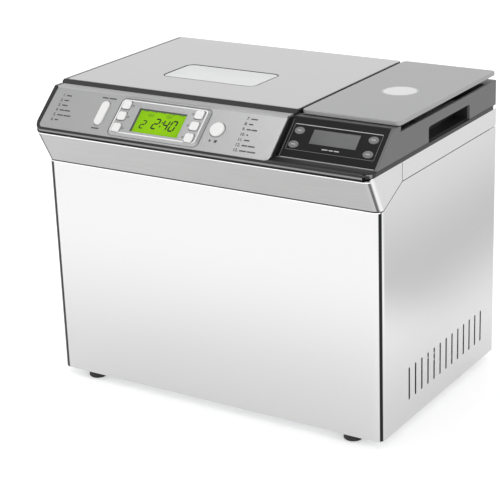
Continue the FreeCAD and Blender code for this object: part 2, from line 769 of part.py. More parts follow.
def display_lcd():
    top = display_height - lcd_sink
    glass = rounded_box(lcd_x[0] + 0.1, lcd_x[1] - 0.1, lcd_s[0] + 0.1, lcd_s[1] - 0.1, top - lcd_depth,
                        top, 0.8)
    add("display_lcd", on_panel(glass))


def keys():
    top = display_height + key_proud
    for name, (x, s) in key_places().items():
        r = key_size / 2
        cap = rounded_box(x - r, x + r, s - r, s + r, -1.5, top, key_corner)
        cap = cap.makeFillet(0.8, top_edges(cap, top))
        stem = box(x - 1.5, x + 1.5, s - 1.5, s + 1.5, -key_stem, -1.5)
        add(name, on_panel(fuse(cap, stem)))
    button = cylinder(start_x, start_s, -faceplate - 1, start_proud, start_radius)
    button = button.makeFillet(1.2, top_edges(button, start_proud))
    stem = cylinder(start_x, start_s, -key_stem, -faceplate - 1, 2)
    add("start_stop_key", on_panel(fuse(button, stem)))


def menu_light_rocker():
    cap = stadium(rocker_x, rocker_s, rocker_width, rocker_length, -faceplate - 1, rocker_proud)
    cap = cap.makeFillet(1.3, top_edges(cap, rocker_proud))
    web = box(rocker_x - 3, rocker_x + 3, rocker_s - 3, rocker_s + 3, -rocker_axis_sink - 1.5, -faceplate - 1)
    reach = rocker_pin_length / 2
    pin = rod_x(rocker_x - reach, rocker_x + reach, rocker_s, -rocker_axis_sink, rocker_pin_radius)
    feet_pair = [box(rocker_x - 1.5, rocker_x + 1.5, rocker_s + e - 1.5, rocker_s + e + 1.5, -key_stem,
                     -faceplate - 1)
                 for e in (-9, 9)]
    add("menu_light_rocker", on_panel(fuse(cap, web, pin, *feet_pair)))


def control_board():
    top = -board_sink + 3
    sheet_board = box(rocker_x - 30, start_x + 30, 9, 50, top - board, top)
    switches = []
    spots = list(key_places().values()) + [(start_x, start_s)]
    spots += [(rocker_x, rocker_s - 9), (rocker_x, rocker_s + 9)]
    for x, s in spots:
        switches.append(box(x - 3, x + 3, s - 3, s + 3, top, top + 0.6))
    add("control_board", *[on_panel(piece) for piece in [sheet_board] + switches])


# ---------------------------------------------------------------- scale
def scale_housing():
    # grey shell round the scale: panel support in front, wall at the right, shelf at the rear
    left = scale_left + 0.3
    front = prism_x([
        (y_scale_foot, z_rim_top),
        (y_scale_foot, z_scale_foot),
        (y_scale_top, z_scale_top),
        (y_scale_step, z_scale_top),
        (y_scale_step, z_rim_top),
    ], left, scale_right)
    under_top = z_scale_top - faceplate / math.cos(scale_angle) - wall
    hollow = prism_x([
        (y_scale_foot + 6.5, z_rim_top - 1),
        (y_scale_foot + 6.5, z_scale_foot + 2),
        (y_scale_top + 2, under_top),
        (y_scale_step - wall, under_top),
        (y_scale_step - wall, z_rim_top - 1),
    ], left + wall, scale_right - scale_wall)
    panel_right = -scale_side_inset - scale_wall
    seat = on_scale_panel(box(-scale_bay, panel_right, 0.6, scale_length + 10, -faceplate, 10))
    window = on_scale_panel(box(-scale_bay + 8, panel_right - 5, 6, scale_length - 5, -15, 1))
    side = box(scale_right - scale_wall, scale_right, y_scale_step - 1, y_rear, z_rim_top, z_scale_wall)
    y_shelf = y_rear - scale_shelf_length + 0.3
    shelf = box(left, scale_right, y_shelf, y_rear, z_rim_top, z_scale_wall)
    pocket = box(left + wall, scale_right - scale_wall, y_shelf + wall, y_rear - wall, z_rim_top - 1,
                 z_scale_wall - wall)
    body = fuse(cut(front, hollow, seat, window), side, cut(shelf, pocket))
    add("scale_housing", cut(body, grip_window(scale_right - scale_wall - 1, scale_right + 1)))


def scale_key_name(x, s):
    side = "left" if x < (scale_lcd_x[0] + scale_lcd_x[1]) / 2 else "right"
    level = "upper" if s > (scale_lcd_s[0] + scale_lcd_s[1]) / 2 - 3 else "lower"
    return "scale_key_" + level + "_" + side


def ellipse_block(x, s, rx, ry, z0, z1):
    wire = Part.Wire(Part.Ellipse(Vector(x, s, z0), rx, ry).toShape())
    return Part.Face(wire).extrude(Vector(0, 0, z1 - z0))


def scale_faceplate():
    slab = box(-scale_bay + 0.5, -scale_side_inset - scale_wall - 0.15, 0.7, scale_length + 6,
               -faceplate + 0.05, 0)
    holes = [box(scale_lcd_x[0], scale_lcd_x[1], scale_lcd_s[0], scale_lcd_s[1], -5, 3)]
    for x, s in scale_key_places:
        holes.append(ellipse_block(x, s, scale_key_rx + scale_key_gap, scale_key_ry + scale_key_gap, -5, 3))
    slab = on_scale_panel(cut(slab, *holes))
    above = box(scale_left - 5, half, y_nose - 5, y_rear, z_scale_top, total_height + 60)
    add("scale_faceplate", cut(slab, above))


def scale_keys():
    for x, s in scale_key_places:
        cap = ellipse_block(x, s, scale_key_rx, scale_key_ry, -faceplate - 0.5, scale_key_proud)
        cap = cap.makeFillet(0.4, top_edges(cap, scale_key_proud))
        stem = cylinder(x, s, -faceplate - 2.2, -faceplate - 0.5, 1.5)
        add(scale_key_name(x, s), on_scale_panel(fuse(cap, stem)))


def scale_lcd():
    glass = box(scale_lcd_x[0] + 0.1, scale_lcd_x[1] - 0.1, scale_lcd_s[0] + 0.1, scale_lcd_s[1] - 0.1,
                -4.5, -0.5)
    add("scale_lcd", on_scale_panel(glass))


def scale_platform():
    top = total_height
    y0, y1 = platform_span()
    plate = rounded_box(plate_left, half + plate_overhang, y0, y1, top - plate_thickness, top, plate_corner)
    plate = plate.makeFillet(0.8, top_edges(plate, top))
    x, y = half + badge_x, (y0 + y1) / 2 - badge_forward
    add("scale_platform", plate.cut(cylinder(x, y, top - badge_height, top + 1, badge_radius)))
    add("platform_badge", cylinder(x, y, top - badge_height, top, badge_radius - 0.05))


def platform_span():
    return y_scale_step - plate_front_gap, y_rear - plate_rear_margin


def cell_place():
    return (cell_x - cell_width / 2, cell_x + cell_width / 2, chamber_y - cell_length / 2,
            z_scale_deck + cell_boss)


def load_cell():
    x0, x1, y0, z0 = cell_place()
    bar = box(x0, x1, y0, y0 + cell_length, z0, z0 + cell_width)
    xc, zc = (x0 + x1) / 2, z0 + cell_width / 2
    flexure = [rod_x(x0 - 1, x1 + 1, y0 + cell_length / 2 + e, zc, 4.6) for e in (-9, 9)]
    slit = box(x0 - 1, x1 + 1, y0 + cell_length / 2 - 9, y0 + cell_length / 2 + 9, zc - 1.5, zc + 1.5)
    tapped = [cylinder(xc, y0 + e, z0 - 1, z0 + cell_width + 1, 2) for e in (5, cell_length - 5)]
    add("load_cell", cut(bar, slit, *flexure, *tapped))


def platform_spider():
    x0, x1, y0, z0 = cell_place()
    z_top = total_height - plate_thickness
    z_arm = z_top - spider_height
    y_low, y_high = platform_span()
    yc = (y_low + y_high) / 2
    reach_x = (half + plate_overhang - plate_left) / 2 - pad_inset_x
    reach_y = (y_high - y_low) / 2 - pad_inset_y
    arms = []
    pads = []
    for sx in (-1, 1):
        for sy in (-1, 1):
            pads.append(cylinder(cell_x + sx * reach_x, yc + sy * reach_y, z_arm, z_top, 8))
            arm = box(0, math.hypot(reach_x, reach_y), -5, 5, z_arm, z_arm + spider_plate)
            arm.rotate(Vector(0, 0, 0), Vector(0, 0, 1), math.degrees(math.atan2(sy * reach_y, sx * reach_x)))
            arm.translate(Vector(cell_x, yc, 0))
            arms.append(arm)
    middle = box(cell_x - 12, cell_x + 12, yc - 14, y0 + cell_length, z_arm, z_arm + spider_plate)
    foot = box(x0, x1, y0 + cell_length - 16, y0 + cell_length, z0 + cell_width + platform_travel_room,
               z_arm + 1)
    add("platform_spider", fuse(middle, foot, *arms, *pads))


# ---------------------------------------------------------------- lid
def window_box(by):
    x0, x1 = window_x
    y0, y1 = window_y
    return grown(bay_x + x0, bay_x + x1, y_skin + y0, y_skin + y1, by)


def skirt_box(by):
    # the skirt hangs inside the frame's walls, in front of the hinges
    return grown(-half - plate_overhang + lid_skirt_inset + 1, scale_left - wall - 2, y_skin + 3.5,
                 hinge_y - 9, by)


def lid_frame():
    top = total_height - lid_skin
    x0, x1 = -half - plate_overhang, lid_right
    plate = rounded_box(x0, x1, y_lid_nose, y_lid_rear, z_lid_seat, top, lid_corner)
    nose = prism_x([(y_lid_nose - 1, z_lid_seat + 0.6), (y_lid_nose - 1, top + 1), (y_skin, top + 1),
                    (y_skin, top)],
                   x0 - 1, x1 + 1)
    skirt = rounded_box(*skirt_box(0), z_deck + 0.5, z_lid_seat + 0.5, 5)
    hollow = rounded_box(*skirt_box(-wall), z_deck, z_lid_seat + 0.2, 3)
    window = rounded_box(*window_box(0), z_lid_seat - 1, top + 1, window_corner)
    lugs = []
    bores = []
    for x in hinge_places:
        a, b = x - hinge_lug / 2, x + hinge_lug / 2
        lugs.append(fuse(rod_x(a, b, hinge_y, z_hinge, hinge_lug_radius),
                         box(a, b, hinge_y - hinge_lug_radius, hinge_y + 2.2, z_hinge, z_lid_seat + 0.5)))
        bores.append(rod_x(a - 5, b + 5, hinge_y, z_hinge, hinge_pin_radius + running_clearance))
    add("lid_frame", cut(fuse(cut(plate, nose), cut(skirt, hollow), *lugs), window, *bores))


def lid_skin_sheet():
    top = total_height
    skin = rounded_box(-half - plate_overhang + lid_skin_left, lid_right - 0.6, y_skin, y_lid_rear - 1.2,
                       top - lid_skin, top, lid_corner - 1)
    gap = 0.8
    hole = rounded_box(*window_box(gap), top - 2, top + 1, window_corner + gap)
    add("lid_skin", cut(skin, hole))


def lid_window():
    # outer pane in the lid's frame, inner pane on the liner's lip
    top = total_height - lid_skin + 0.3
    outer = rounded_box(*window_box(-0.1), top - window_glass, top, window_corner)
    inner = rounded_box(*window_box(-sleeve_inset - sheet - 0.1), z_deck + 1.5, z_deck + 4.5,
                        window_corner - sleeve_inset - sheet)
    add("lid_window", outer, inner)


def lid_liner():
    z0 = z_deck + 0.6
    z1 = z0 + sheet
    floor = rounded_box(*skirt_box(-wall - 0.1), z0, z1, 2.9)
    corner = window_corner - sleeve_inset
    sleeve = rounded_box(*window_box(-sleeve_inset), z0, z_lid_seat - 0.1, corner)
    bore = rounded_box(*window_box(-sleeve_inset - sheet), z1, z_lid_seat, corner - sheet)
    lip = rounded_box(*window_box(-sleeve_inset - 5), z0 - 1, z1 + 1, 2.0)
    add("lid_liner", cut(fuse(floor, sleeve), bore, lip))


# ---------------------------------------------------------------- baking chamber
def element_wire():
    x0, x1, y0, y1 = chamber_box(-(element_gap + element_radius))
    z = chamber_floor + element_height
    r = element_corner
    k = r * (1 - math.sqrt(0.5))
    t = element_terminal_spread / 2
    q = 8.0
    m = q * (1 - math.sqrt(0.5))
    yc = chamber_y

    def line(a, b):
        return Part.LineSegment(Vector(*a, z), Vector(*b, z)).toShape()

    def arc(a, b, c):
        return Part.Arc(Vector(*a, z), Vector(*b, z), Vector(*c, z)).toShape()

    edges = [
        line((element_end, yc - t), (x1 + q, yc - t)),
        arc((x1 + q, yc - t), (x1 + m, yc - t - m), (x1, yc - t - q)),
        line((x1, yc - t - q), (x1, y0 + r)),
        arc((x1, y0 + r), (x1 - k, y0 + k), (x1 - r, y0)),
        line((x1 - r, y0), (x0 + r, y0)),
        arc((x0 + r, y0), (x0 + k, y0 + k), (x0, y0 + r)),
        line((x0, y0 + r), (x0, y1 - r)),
        arc((x0, y1 - r), (x0 + k, y1 - k), (x0 + r, y1)),
        line((x0 + r, y1), (x1 - r, y1)),
        arc((x1 - r, y1), (x1 - k, y1 - k), (x1, y1 - r)),
        line((x1, y1 - r), (x1, yc + t + q)),
        arc((x1, yc + t + q), (x1 + m, yc + t + m), (x1 + q, yc + t)),
        line((x1 + q, yc + t), (element_end, yc + t)),
    ]
    return Part.Wire(edges), z


def heating_element():
    wire, z = element_wire()
    start = Vector(element_end, chamber_y - element_terminal_spread / 2, z)
    section = Part.Wire(Part.Circle(start, Vector(1, 0, 0), element_radius).toShape())
    tube = wire.makePipeShell([section], True, False)
    places = [chamber_y + e * element_terminal_spread / 2 for e in (-1, 1)]
    pins = [rod_x(element_end, element_end + element_pin, y, z, 1.6) for y in places]
    add("heating_element", fuse(tube, *pins))


def chamber():
    inner_box = chamber_box()
    z0 = chamber_floor - sheet
    z1 = z_deck - wall - 0.3
    outer = rounded_box(*chamber_box(sheet), z0, z1, chamber_corner + sheet)
    lip = rounded_box(*chamber_box(chamber_flange), z1 - sheet, z1, chamber_corner + chamber_flange)
    inner = rounded_box(*inner_box, chamber_floor, z1 + 1, chamber_corner)
    xw = chamber_x + chamber_length / 2
    z_element = chamber_floor + element_height
    holes = [rod_x(xw - 5, xw + 5, chamber_y + e * element_terminal_spread / 2, z_element,
                   element_radius + 0.3)
             for e in (-1, 1)]
    holes += [cylinder(x, chamber_y, z0 - 1, z0 + 2, shaft_radius + 2) for x in shaft_places.values()]
    yf = chamber_y - chamber_depth / 2
    holes.append(rod_y(sensor_x(), yf - 5, yf + 5, chamber_floor + sensor_height, sensor_radius + 0.1))
    yb = chamber_y + chamber_depth / 2
    holes.append(rod_y(lamp_x(), yb - 5, yb + 5, z_lamp, lamp_radius - 2))
    add("chamber", cut(fuse(outer, lip), inner, *holes))


def sensor_x():
    return chamber_x + 60


def lamp_x():
    return chamber_x + 70


def temperature_sensor():
    yf = chamber_y - chamber_depth / 2
    z = chamber_floor + sensor_height
    probe = rod_y(sensor_x(), yf - 14, yf + 9, z, sensor_radius)
    collar = rod_y(sensor_x(), yf - sheet - 3, yf - sheet, z, 6)
    add("temperature_sensor", fuse(probe, collar))


def chamber_lamp():
    yb = chamber_y + chamber_depth / 2
    cover = rod_y(lamp_x(), yb - 4, yb, z_lamp, lamp_radius)
    rims = [e for e in cover.Edges if abs(e.BoundBox.YMax - (yb - 4)) < 0.01]
    cover = cover.makeFillet(2.5, rims)
    holder = rod_y(lamp_x(), yb, yb + 14, z_lamp, lamp_radius - 2.2)
    add("chamber_lamp", fuse(cover, holder))


# ---------------------------------------------------------------- pan and paddles
def pan_body():
    half_l, half_d = pan_length / 2, pan_depth / 2
    low = (chamber_x - half_l, chamber_x + half_l, chamber_y - half_d, chamber_y + half_d)
    high = grown(*low, pan_draft)
    outer = rounded_loft(low, high, z_pan, z_pan_rim, pan_corner, pan_corner + pan_draft)
    grow = pan_draft * (1 - pan_wall / pan_height)
    inner_low = grown(*low, -pan_wall + pan_draft * pan_wall / pan_height)
    inner_high = grown(*inner_low, grow)
    inner = rounded_loft(inner_low, inner_high, z_pan + pan_wall, z_pan_rim, pan_corner - pan_wall,
                         pan_corner - pan_wall + grow)
    bead = rounded_box(*grown(*high, pan_rim), z_pan_rim - 2.4, z_pan_rim, pan_corner + pan_draft + pan_rim)
    open_top = rounded_box(*grown(*inner_high, 0.01), z_pan_rim - 0.05, z_pan_rim + 1,
                           pan_corner - pan_wall + grow)
    c = (chamber_x - half_l + collar_inset_x, chamber_x + half_l - collar_inset_x,
         chamber_y - half_d + collar_inset_y, chamber_y + half_d - collar_inset_y)
    collar = cut(rounded_box(*c, chamber_floor + pan_rest_gap, z_pan + 0.5, 20),
                 rounded_box(*grown(*c, -2), chamber_floor - 1, z_pan, 18))
    bosses = [cylinder(x, chamber_y, z_pan - 1.5, z_pan + boss_height, boss_radius)
              for x in shaft_places.values()]
    bores = [cylinder(x, chamber_y, z_pan - 5, z_pan + boss_height + 5, shaft_radius + running_clearance)
             for x in shaft_places.values()]
    lugs = []
    pivots = []
    z_pivot = z_pan_rim - bail_drop
    for side in (-1, 1):
        x_wall = chamber_x + side * (half_l + pan_draft * 0.6)
        a, b = sorted((x_wall, x_wall + side * 3.8))
        lugs.append(rod_x(a, b, chamber_y, z_pivot, 7))
        a, b = sorted((x_wall - side * 4, x_wall + side * 9))
        pivots.append(rod_x(a, b, chamber_y, z_pivot, bail_radius + running_clearance))
    walls = cut(fuse(outer, bead), inner, open_top)
    body = cut(fuse(walls, collar, *bosses, *lugs), inner.cut(bosses), *bores, *pivots)
    add("pan_body", body)


def bail_path():
    reach = pan_depth / 2 + pan_draft + pan_rim - 3.0
    x_end = pan_length / 2 + pan_draft * 0.6
    z_pivot = z_pan_rim - bail_drop
    z_bar = z_pan_rim + bail_radius + 0.4
    return reach, x_end, z_pivot, z_bar


def pan_handle():
    reach, x_end, z_pivot, z_bar = bail_path()
    out = pan_length / 2 + pan_draft + pan_rim + bail_radius + bail_clearance
    q = 10.0
    lean = math.atan2(z_bar - z_pivot, reach)
    arm = math.hypot(reach, z_bar - z_pivot)

    # drawn flat in x and along the arm, then leaned to lie on the rim
    def point(x, a):
        return Vector(chamber_x + x, chamber_y - a * math.cos(lean), z_pivot + a * math.sin(lean))

    def line(a, b):
        return Part.LineSegment(point(*a), point(*b)).toShape()

    def arc(a, b, c):
        return Part.Arc(point(*a), point(*b), point(*c)).toShape()

    k = q * (1 - math.sqrt(0.5))
    bend = 4.0
    n = bend * (1 - math.sqrt(0.5))
    tip = x_end - 1.6
    edges = [
        line((-tip, 0), (-out + bend, 0)),
        arc((-out + bend, 0), (-out + n, n), (-out, bend)),
        line((-out, bend), (-out, arm - q)),
        arc((-out, arm - q), (-out + k, arm - k), (-out + q, arm)),
        line((-out + q, arm), (out - q, arm)),
        arc((out - q, arm), (out - k, arm - k), (out, arm - q)),
        line((out, arm - q), (out, bend)),
        arc((out, bend), (out - n, n), (out - bend, 0)),
        line((out - bend, 0), (tip, 0)),
    ]
    wire = Part.Wire(edges)
    section = Part.Wire(Part.Circle(point(-tip, 0), Vector(1, 0, 0), bail_radius).toShape())
    add("pan_handle", wire.makePipeShell([section], True, False))


def d_shaft(x, z0, z1, radius):
    flat = box(x + radius - 1.2, x + radius + 5, chamber_y - 10, chamber_y + 10, z0 - 1, z1 + 1)
    return cylinder(x, chamber_y, z0, z1, radius).cut(flat)


def dog_levels():
    bar_low = chamber_floor + 3.5
    return bar_low, bar_low + bar_height, bar_low + bar_height + dog_gap, z_pan - 1.5 - dog_gap


def pan_shafts():
    bar_low, _, disc_low, disc_top = dog_levels()
    z_hub = z_pan + boss_height + 0.4
    for side, x in shaft_places.items():
        disc = cylinder(x, chamber_y, disc_low, disc_top, dog_radius)
        prongs = [box(x - 3, x + 3, *sorted((chamber_y + s * 6, chamber_y + s * 12)), bar_low + dog_gap,
                      disc_low)
                  for s in (-1, 1)]
        round_part = cylinder(x, chamber_y, disc_top, z_hub, shaft_radius)
        top_part = d_shaft(x, z_hub, z_hub + paddle_hub_height - 1, shaft_radius)
        add("pan_shaft_" + side, fuse(disc, round_part, top_part, *prongs))


def paddles():
    z0 = z_pan + boss_height + 0.8
    z1 = z0 + paddle_hub_height
    for side, x in shaft_places.items():
        hub = cylinder(x, chamber_y, z0, z1, paddle_hub_radius)
        blade = prism_x([
            (chamber_y - paddle_blade / 2, z0),
            (chamber_y + paddle_blade / 2, z0),
            (chamber_y + paddle_blade / 2 - 1.5, z0 + paddle_blade_height),
            (chamber_y - paddle_blade / 2 + 1.5, z0 + paddle_blade_height),
        ], x + 2, x + paddle_reach)
        corner = edges_where(blade, lambda a, b: min(a.x, b.x) > x + paddle_reach - 0.1
                             and abs(a.z - b.z) < 0.1 and a.z > z0 + 5)
        blade = blade.makeFillet(16.0, corner)
        bore = cylinder(x, chamber_y, z0 - 1, z1 - 1.2, shaft_radius + running_clearance)
        flat = box(x + shaft_radius - 1.2 + running_clearance, x + 10, chamber_y - 10, chamber_y + 10,
                   z0 - 2, z1)
        add("paddle_" + side, fuse(hub, blade).cut(bore.cut(flat)))


# ---------------------------------------------------------------- drive
def drive_bracket():
    # plate under the chamber with two bearing housings, on four posts
    z1 = chamber_floor - sheet
    z0 = z1 - bracket_plate
    post_x = shaft_spacing / 2 + 30
    post_y = large_pulley_radius + pulley_flange + 6
    plate = rounded_box(chamber_x - post_x - 6, chamber_x + post_x + 6, chamber_y - post_y - 6,
                        chamber_y + post_y + 6, z0, z1, 12)
    parts = [plate]
    bores = []
    for x in shaft_places.values():
        parts.append(cylinder(x, chamber_y, z0 - bearing_length + 2, z0, bearing_radius + 4))
        bores.append(cylinder(x, chamber_y, z0 - bearing_length, z1 + 1, bearing_radius))
    for sx in (-1, 1):
        for sy in (-1, 1):
            parts.append(cylinder(chamber_x + sx * post_x, chamber_y + sy * post_y, z_shell + tray_sheet,
                                  z0, 4))
    add("drive_bracket", cut(fuse(*parts), *bores))


def drive_bearings():
    z1 = chamber_floor - sheet
    rings = []
    for x in shaft_places.values():
        ring = cylinder(x, chamber_y, z1 - bracket_plate - bearing_length + 2, z1, bearing_radius)
        rings.append(ring.cut(cylinder(x, chamber_y, 0, z1 + 1, shaft_radius + running_clearance)))
    add("drive_bearings", *rings)


def pulley(x, y, z0, radius):
    z1 = z0 + belt_width
    rim_gap = 0.6
    wheel = cylinder(x, y, z0 - rim_gap, z1 + rim_gap, radius)
    low = cylinder(x, y, z0 - rim_gap - 1, z0 - rim_gap, radius + pulley_flange)
    high = cylinder(x, y, z1 + rim_gap, z1 + rim_gap + 1, radius + pulley_flange)
    return [wheel, low, high]


def drive_shafts():
    bar_low, bar_top, _, _ = dog_levels()
    z_low = drive_belt_bottom - 3.0
    for side, x in shaft_places.items():
        shaft = cylinder(x, chamber_y, z_low, bar_low, shaft_radius)
        hub = cylinder(x, chamber_y, chamber_floor + 0.8, bar_low, 8)
        bar = box(x - 12, x + 12, chamber_y - 2.5, chamber_y + 2.5, bar_low, bar_top)
        add("drive_shaft_" + side, fuse(shaft, hub, bar))
    left, right = shaft_places["left"], shaft_places["right"]
    z_top = coupling_belt_bottom + belt_width + 2.0
    small = fuse(*pulley(left, chamber_y, coupling_belt_bottom, small_pulley_radius))
    add("left_pulley", small.cut(cylinder(left, chamber_y, 0, z_top, shaft_radius)))
    large = pulley(right, chamber_y, drive_belt_bottom, large_pulley_radius)
    upper = pulley(right, chamber_y, coupling_belt_bottom, small_pulley_radius)
    z_join = drive_belt_bottom + belt_width
    neck = cylinder(right, chamber_y, z_join, coupling_belt_bottom, small_pulley_radius - 4)
    windows = []
    for i in range(5):
        a = math.radians(72 * i)
        windows.append(cylinder(right + 29 * math.cos(a), chamber_y + 29 * math.sin(a), 0,
                                coupling_belt_bottom - 2, 6.5))
    twin = cut(fuse(*large, *upper, neck), cylinder(right, chamber_y, 0, z_top, shaft_radius), *windows)
    add("twin_pulley", twin)


def belt_wire(xa, ya, ra, xb, yb, rb, z):
    run = math.hypot(xb - xa, yb - ya)
    heading = math.atan2(yb - ya, xb - xa)
    open_angle = math.acos((ra - rb) / run)

    def at(x, y, r, angle):
        return Vector(x + r * math.cos(heading + angle), y + r * math.sin(heading + angle), z)

    a_low, a_high = at(xa, ya, ra, -open_angle), at(xa, ya, ra, open_angle)
    b_low, b_high = at(xb, yb, rb, -open_angle), at(xb, yb, rb, open_angle)
    edges = [
        Part.LineSegment(a_low, b_low).toShape(),
        Part.Arc(b_low, at(xb, yb, rb, 0), b_high).toShape(),
        Part.LineSegment(b_high, a_high).toShape(),
        Part.Arc(a_high, at(xa, ya, ra, math.pi), a_low).toShape(),
    ]
    return Part.Wire(edges)


def belt_loop(xa, ya, ra, xb, yb, rb, z):
    inner = Part.Face(belt_wire(xa, ya, ra + belt_gap, xb, yb, rb + belt_gap, z))
    outer = Part.Face(belt_wire(xa, ya, ra + belt_gap + belt, xb, yb, rb + belt_gap + belt, z))
    up = Vector(0, 0, belt_width)
    return outer.extrude(up).cut(inner.extrude(up))


def belts():
    right, left = shaft_places["right"], shaft_places["left"]
    add("drive_belt", belt_loop(right, chamber_y, large_pulley_radius, motor_x, motor_y, motor_pulley_radius,
                                drive_belt_bottom))
    add("coupling_belt", belt_loop(left, chamber_y, small_pulley_radius, right, chamber_y,
                                   small_pulley_radius,
                                   coupling_belt_bottom))


def motor():
    z0 = motor_stack_bottom
    z1 = z0 + motor_stack_height
    h = motor_stack / 2
    stack = rounded_box(motor_x - h, motor_x + h, motor_y - h, motor_y + h, z0, z1, 8)
    bells = [cylinder(motor_x, motor_y, z0 - 8, z0, 28), cylinder(motor_x, motor_y, z1, z1 + 12, 28)]
    plate = rounded_box(motor_x - 46, motor_x + 46, motor_y - 46, motor_y + 46, z0 - 12, z0 - 8, 8)
    legs = [cylinder(motor_x + sx * 38, motor_y + sy * 38, z_shell + tray_sheet, z0 - 12, 5)
            for sx in (-1, 1) for sy in (-1, 1)]
    room = cylinder(motor_x, motor_y, z0 - 4, z1 + 8, rotor_radius + air_gap)
    bore = cylinder(motor_x, motor_y, z0 - 20, z1 + 20, shaft_radius + running_clearance)
    add("motor_housing", cut(fuse(stack, plate, *bells, *legs), room, bore))
    shaft = cylinder(motor_x, motor_y, drive_belt_bottom - 3, z1 + 16, shaft_radius)
    rotor = cylinder(motor_x, motor_y, z0, z1 + 4, rotor_radius)
    add("motor_rotor", fuse(shaft, rotor))
    wheel = fuse(*pulley(motor_x, motor_y, drive_belt_bottom, motor_pulley_radius))
    add("motor_pulley", wheel.cut(cylinder(motor_x, motor_y, 0, 60, shaft_radius)))


def power_board():
    y0 = y_rear - rear_inset - 34
    z0 = 150.0
    x0, x1 = scale_left + 16, half - 16
    sheet_board = box(x0, x1, y0, y0 + board, z0, z0 + 110)
    transformer = box(x0 + 8, x0 + 42, y0 - 28, y0, z0 + 8, z0 + 38)
    relay = box(x0 + 52, x0 + 68, y0 - 16, y0, z0 + 10, z0 + 38)
    terminals = box(x0 + 8, x0 + 58, y0 - 12, y0, z0 + 92, z0 + 104)
    capacitor = rod_y(x1 - 14, y0 - 22, y0, z0 + 72, 9)
    post = [rod_y(x, y0 + board, y_rear - rear_inset - sheet, z, 3) for x in (x0 + 5, x1 - 5)
            for z in (z0 + 5, z0 + 105)]
    add("power_board", sheet_board, transformer, relay, terminals, capacitor, *post)


# ---------------------------------------------------------------- build
for make in (
    body_wrap, brow_cap, side_bands, rear_panel, case_screws, cord_gland, base_tray, feet,
    grip_cups, upper_frame, hinge_pins,
    control_faceplate, display_frame, display_lcd, keys, menu_light_rocker, control_board,
    scale_housing, scale_faceplate, scale_keys, scale_lcd, scale_platform, load_cell, platform_spider,
    lid_frame, lid_skin_sheet, lid_window, lid_liner,
    heating_element, chamber, temperature_sensor, chamber_lamp,
    pan_body, pan_handle, pan_shafts, paddles,
    drive_bracket, drive_bearings, drive_shafts, belts, motor, power_board,
):
    make()

for name, shape in nodes.items():
    shape.exportStep("parts/" + name + ".step")
    print(name, len(shape.Solids), round(shape.Volume), shape.isValid())
print(len(nodes), "nodes")
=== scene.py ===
import json
import math

import bpy
from mathutils import Matrix, Vector


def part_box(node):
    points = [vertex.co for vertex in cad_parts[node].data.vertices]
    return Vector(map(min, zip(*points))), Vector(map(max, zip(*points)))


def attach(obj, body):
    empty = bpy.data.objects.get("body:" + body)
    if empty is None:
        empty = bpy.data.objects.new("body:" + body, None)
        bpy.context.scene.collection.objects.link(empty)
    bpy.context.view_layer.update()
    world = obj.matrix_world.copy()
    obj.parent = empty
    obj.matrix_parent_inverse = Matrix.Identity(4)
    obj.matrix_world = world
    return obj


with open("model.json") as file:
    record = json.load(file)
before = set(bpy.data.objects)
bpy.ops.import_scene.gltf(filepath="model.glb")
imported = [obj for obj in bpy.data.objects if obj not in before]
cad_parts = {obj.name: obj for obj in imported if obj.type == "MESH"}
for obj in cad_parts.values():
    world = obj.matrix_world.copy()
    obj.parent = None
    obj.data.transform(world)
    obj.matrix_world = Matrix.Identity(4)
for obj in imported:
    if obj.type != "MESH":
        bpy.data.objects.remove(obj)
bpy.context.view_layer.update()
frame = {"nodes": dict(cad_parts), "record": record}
mm = 0.001


# --- shader maths
class Wire:
    # a node's socket that can stand in a sum or a product
    def __init__(self, recipe, socket):
        self.recipe = recipe
        self.socket = socket

    def __add__(self, other):
        return self.recipe.maths("ADD", self, other)

    def __radd__(self, other):
        return self.recipe.maths("ADD", other, self)

    def __sub__(self, other):
        return self.recipe.maths("SUBTRACT", self, other)

    def __rsub__(self, other):
        return self.recipe.maths("SUBTRACT", other, self)

    def __mul__(self, other):
        return self.recipe.maths("MULTIPLY", self, other)

    def __rmul__(self, other):
        return self.recipe.maths("MULTIPLY", other, self)

    def __truediv__(self, other):
        return self.recipe.maths("DIVIDE", self, other)

    def __pow__(self, other):
        return self.recipe.maths("POWER", self, other)

    def over(self, limit):
        return self.recipe.maths("GREATER_THAN", self, limit)

    def size(self):
        return self.recipe.maths("ABSOLUTE", self, 0)


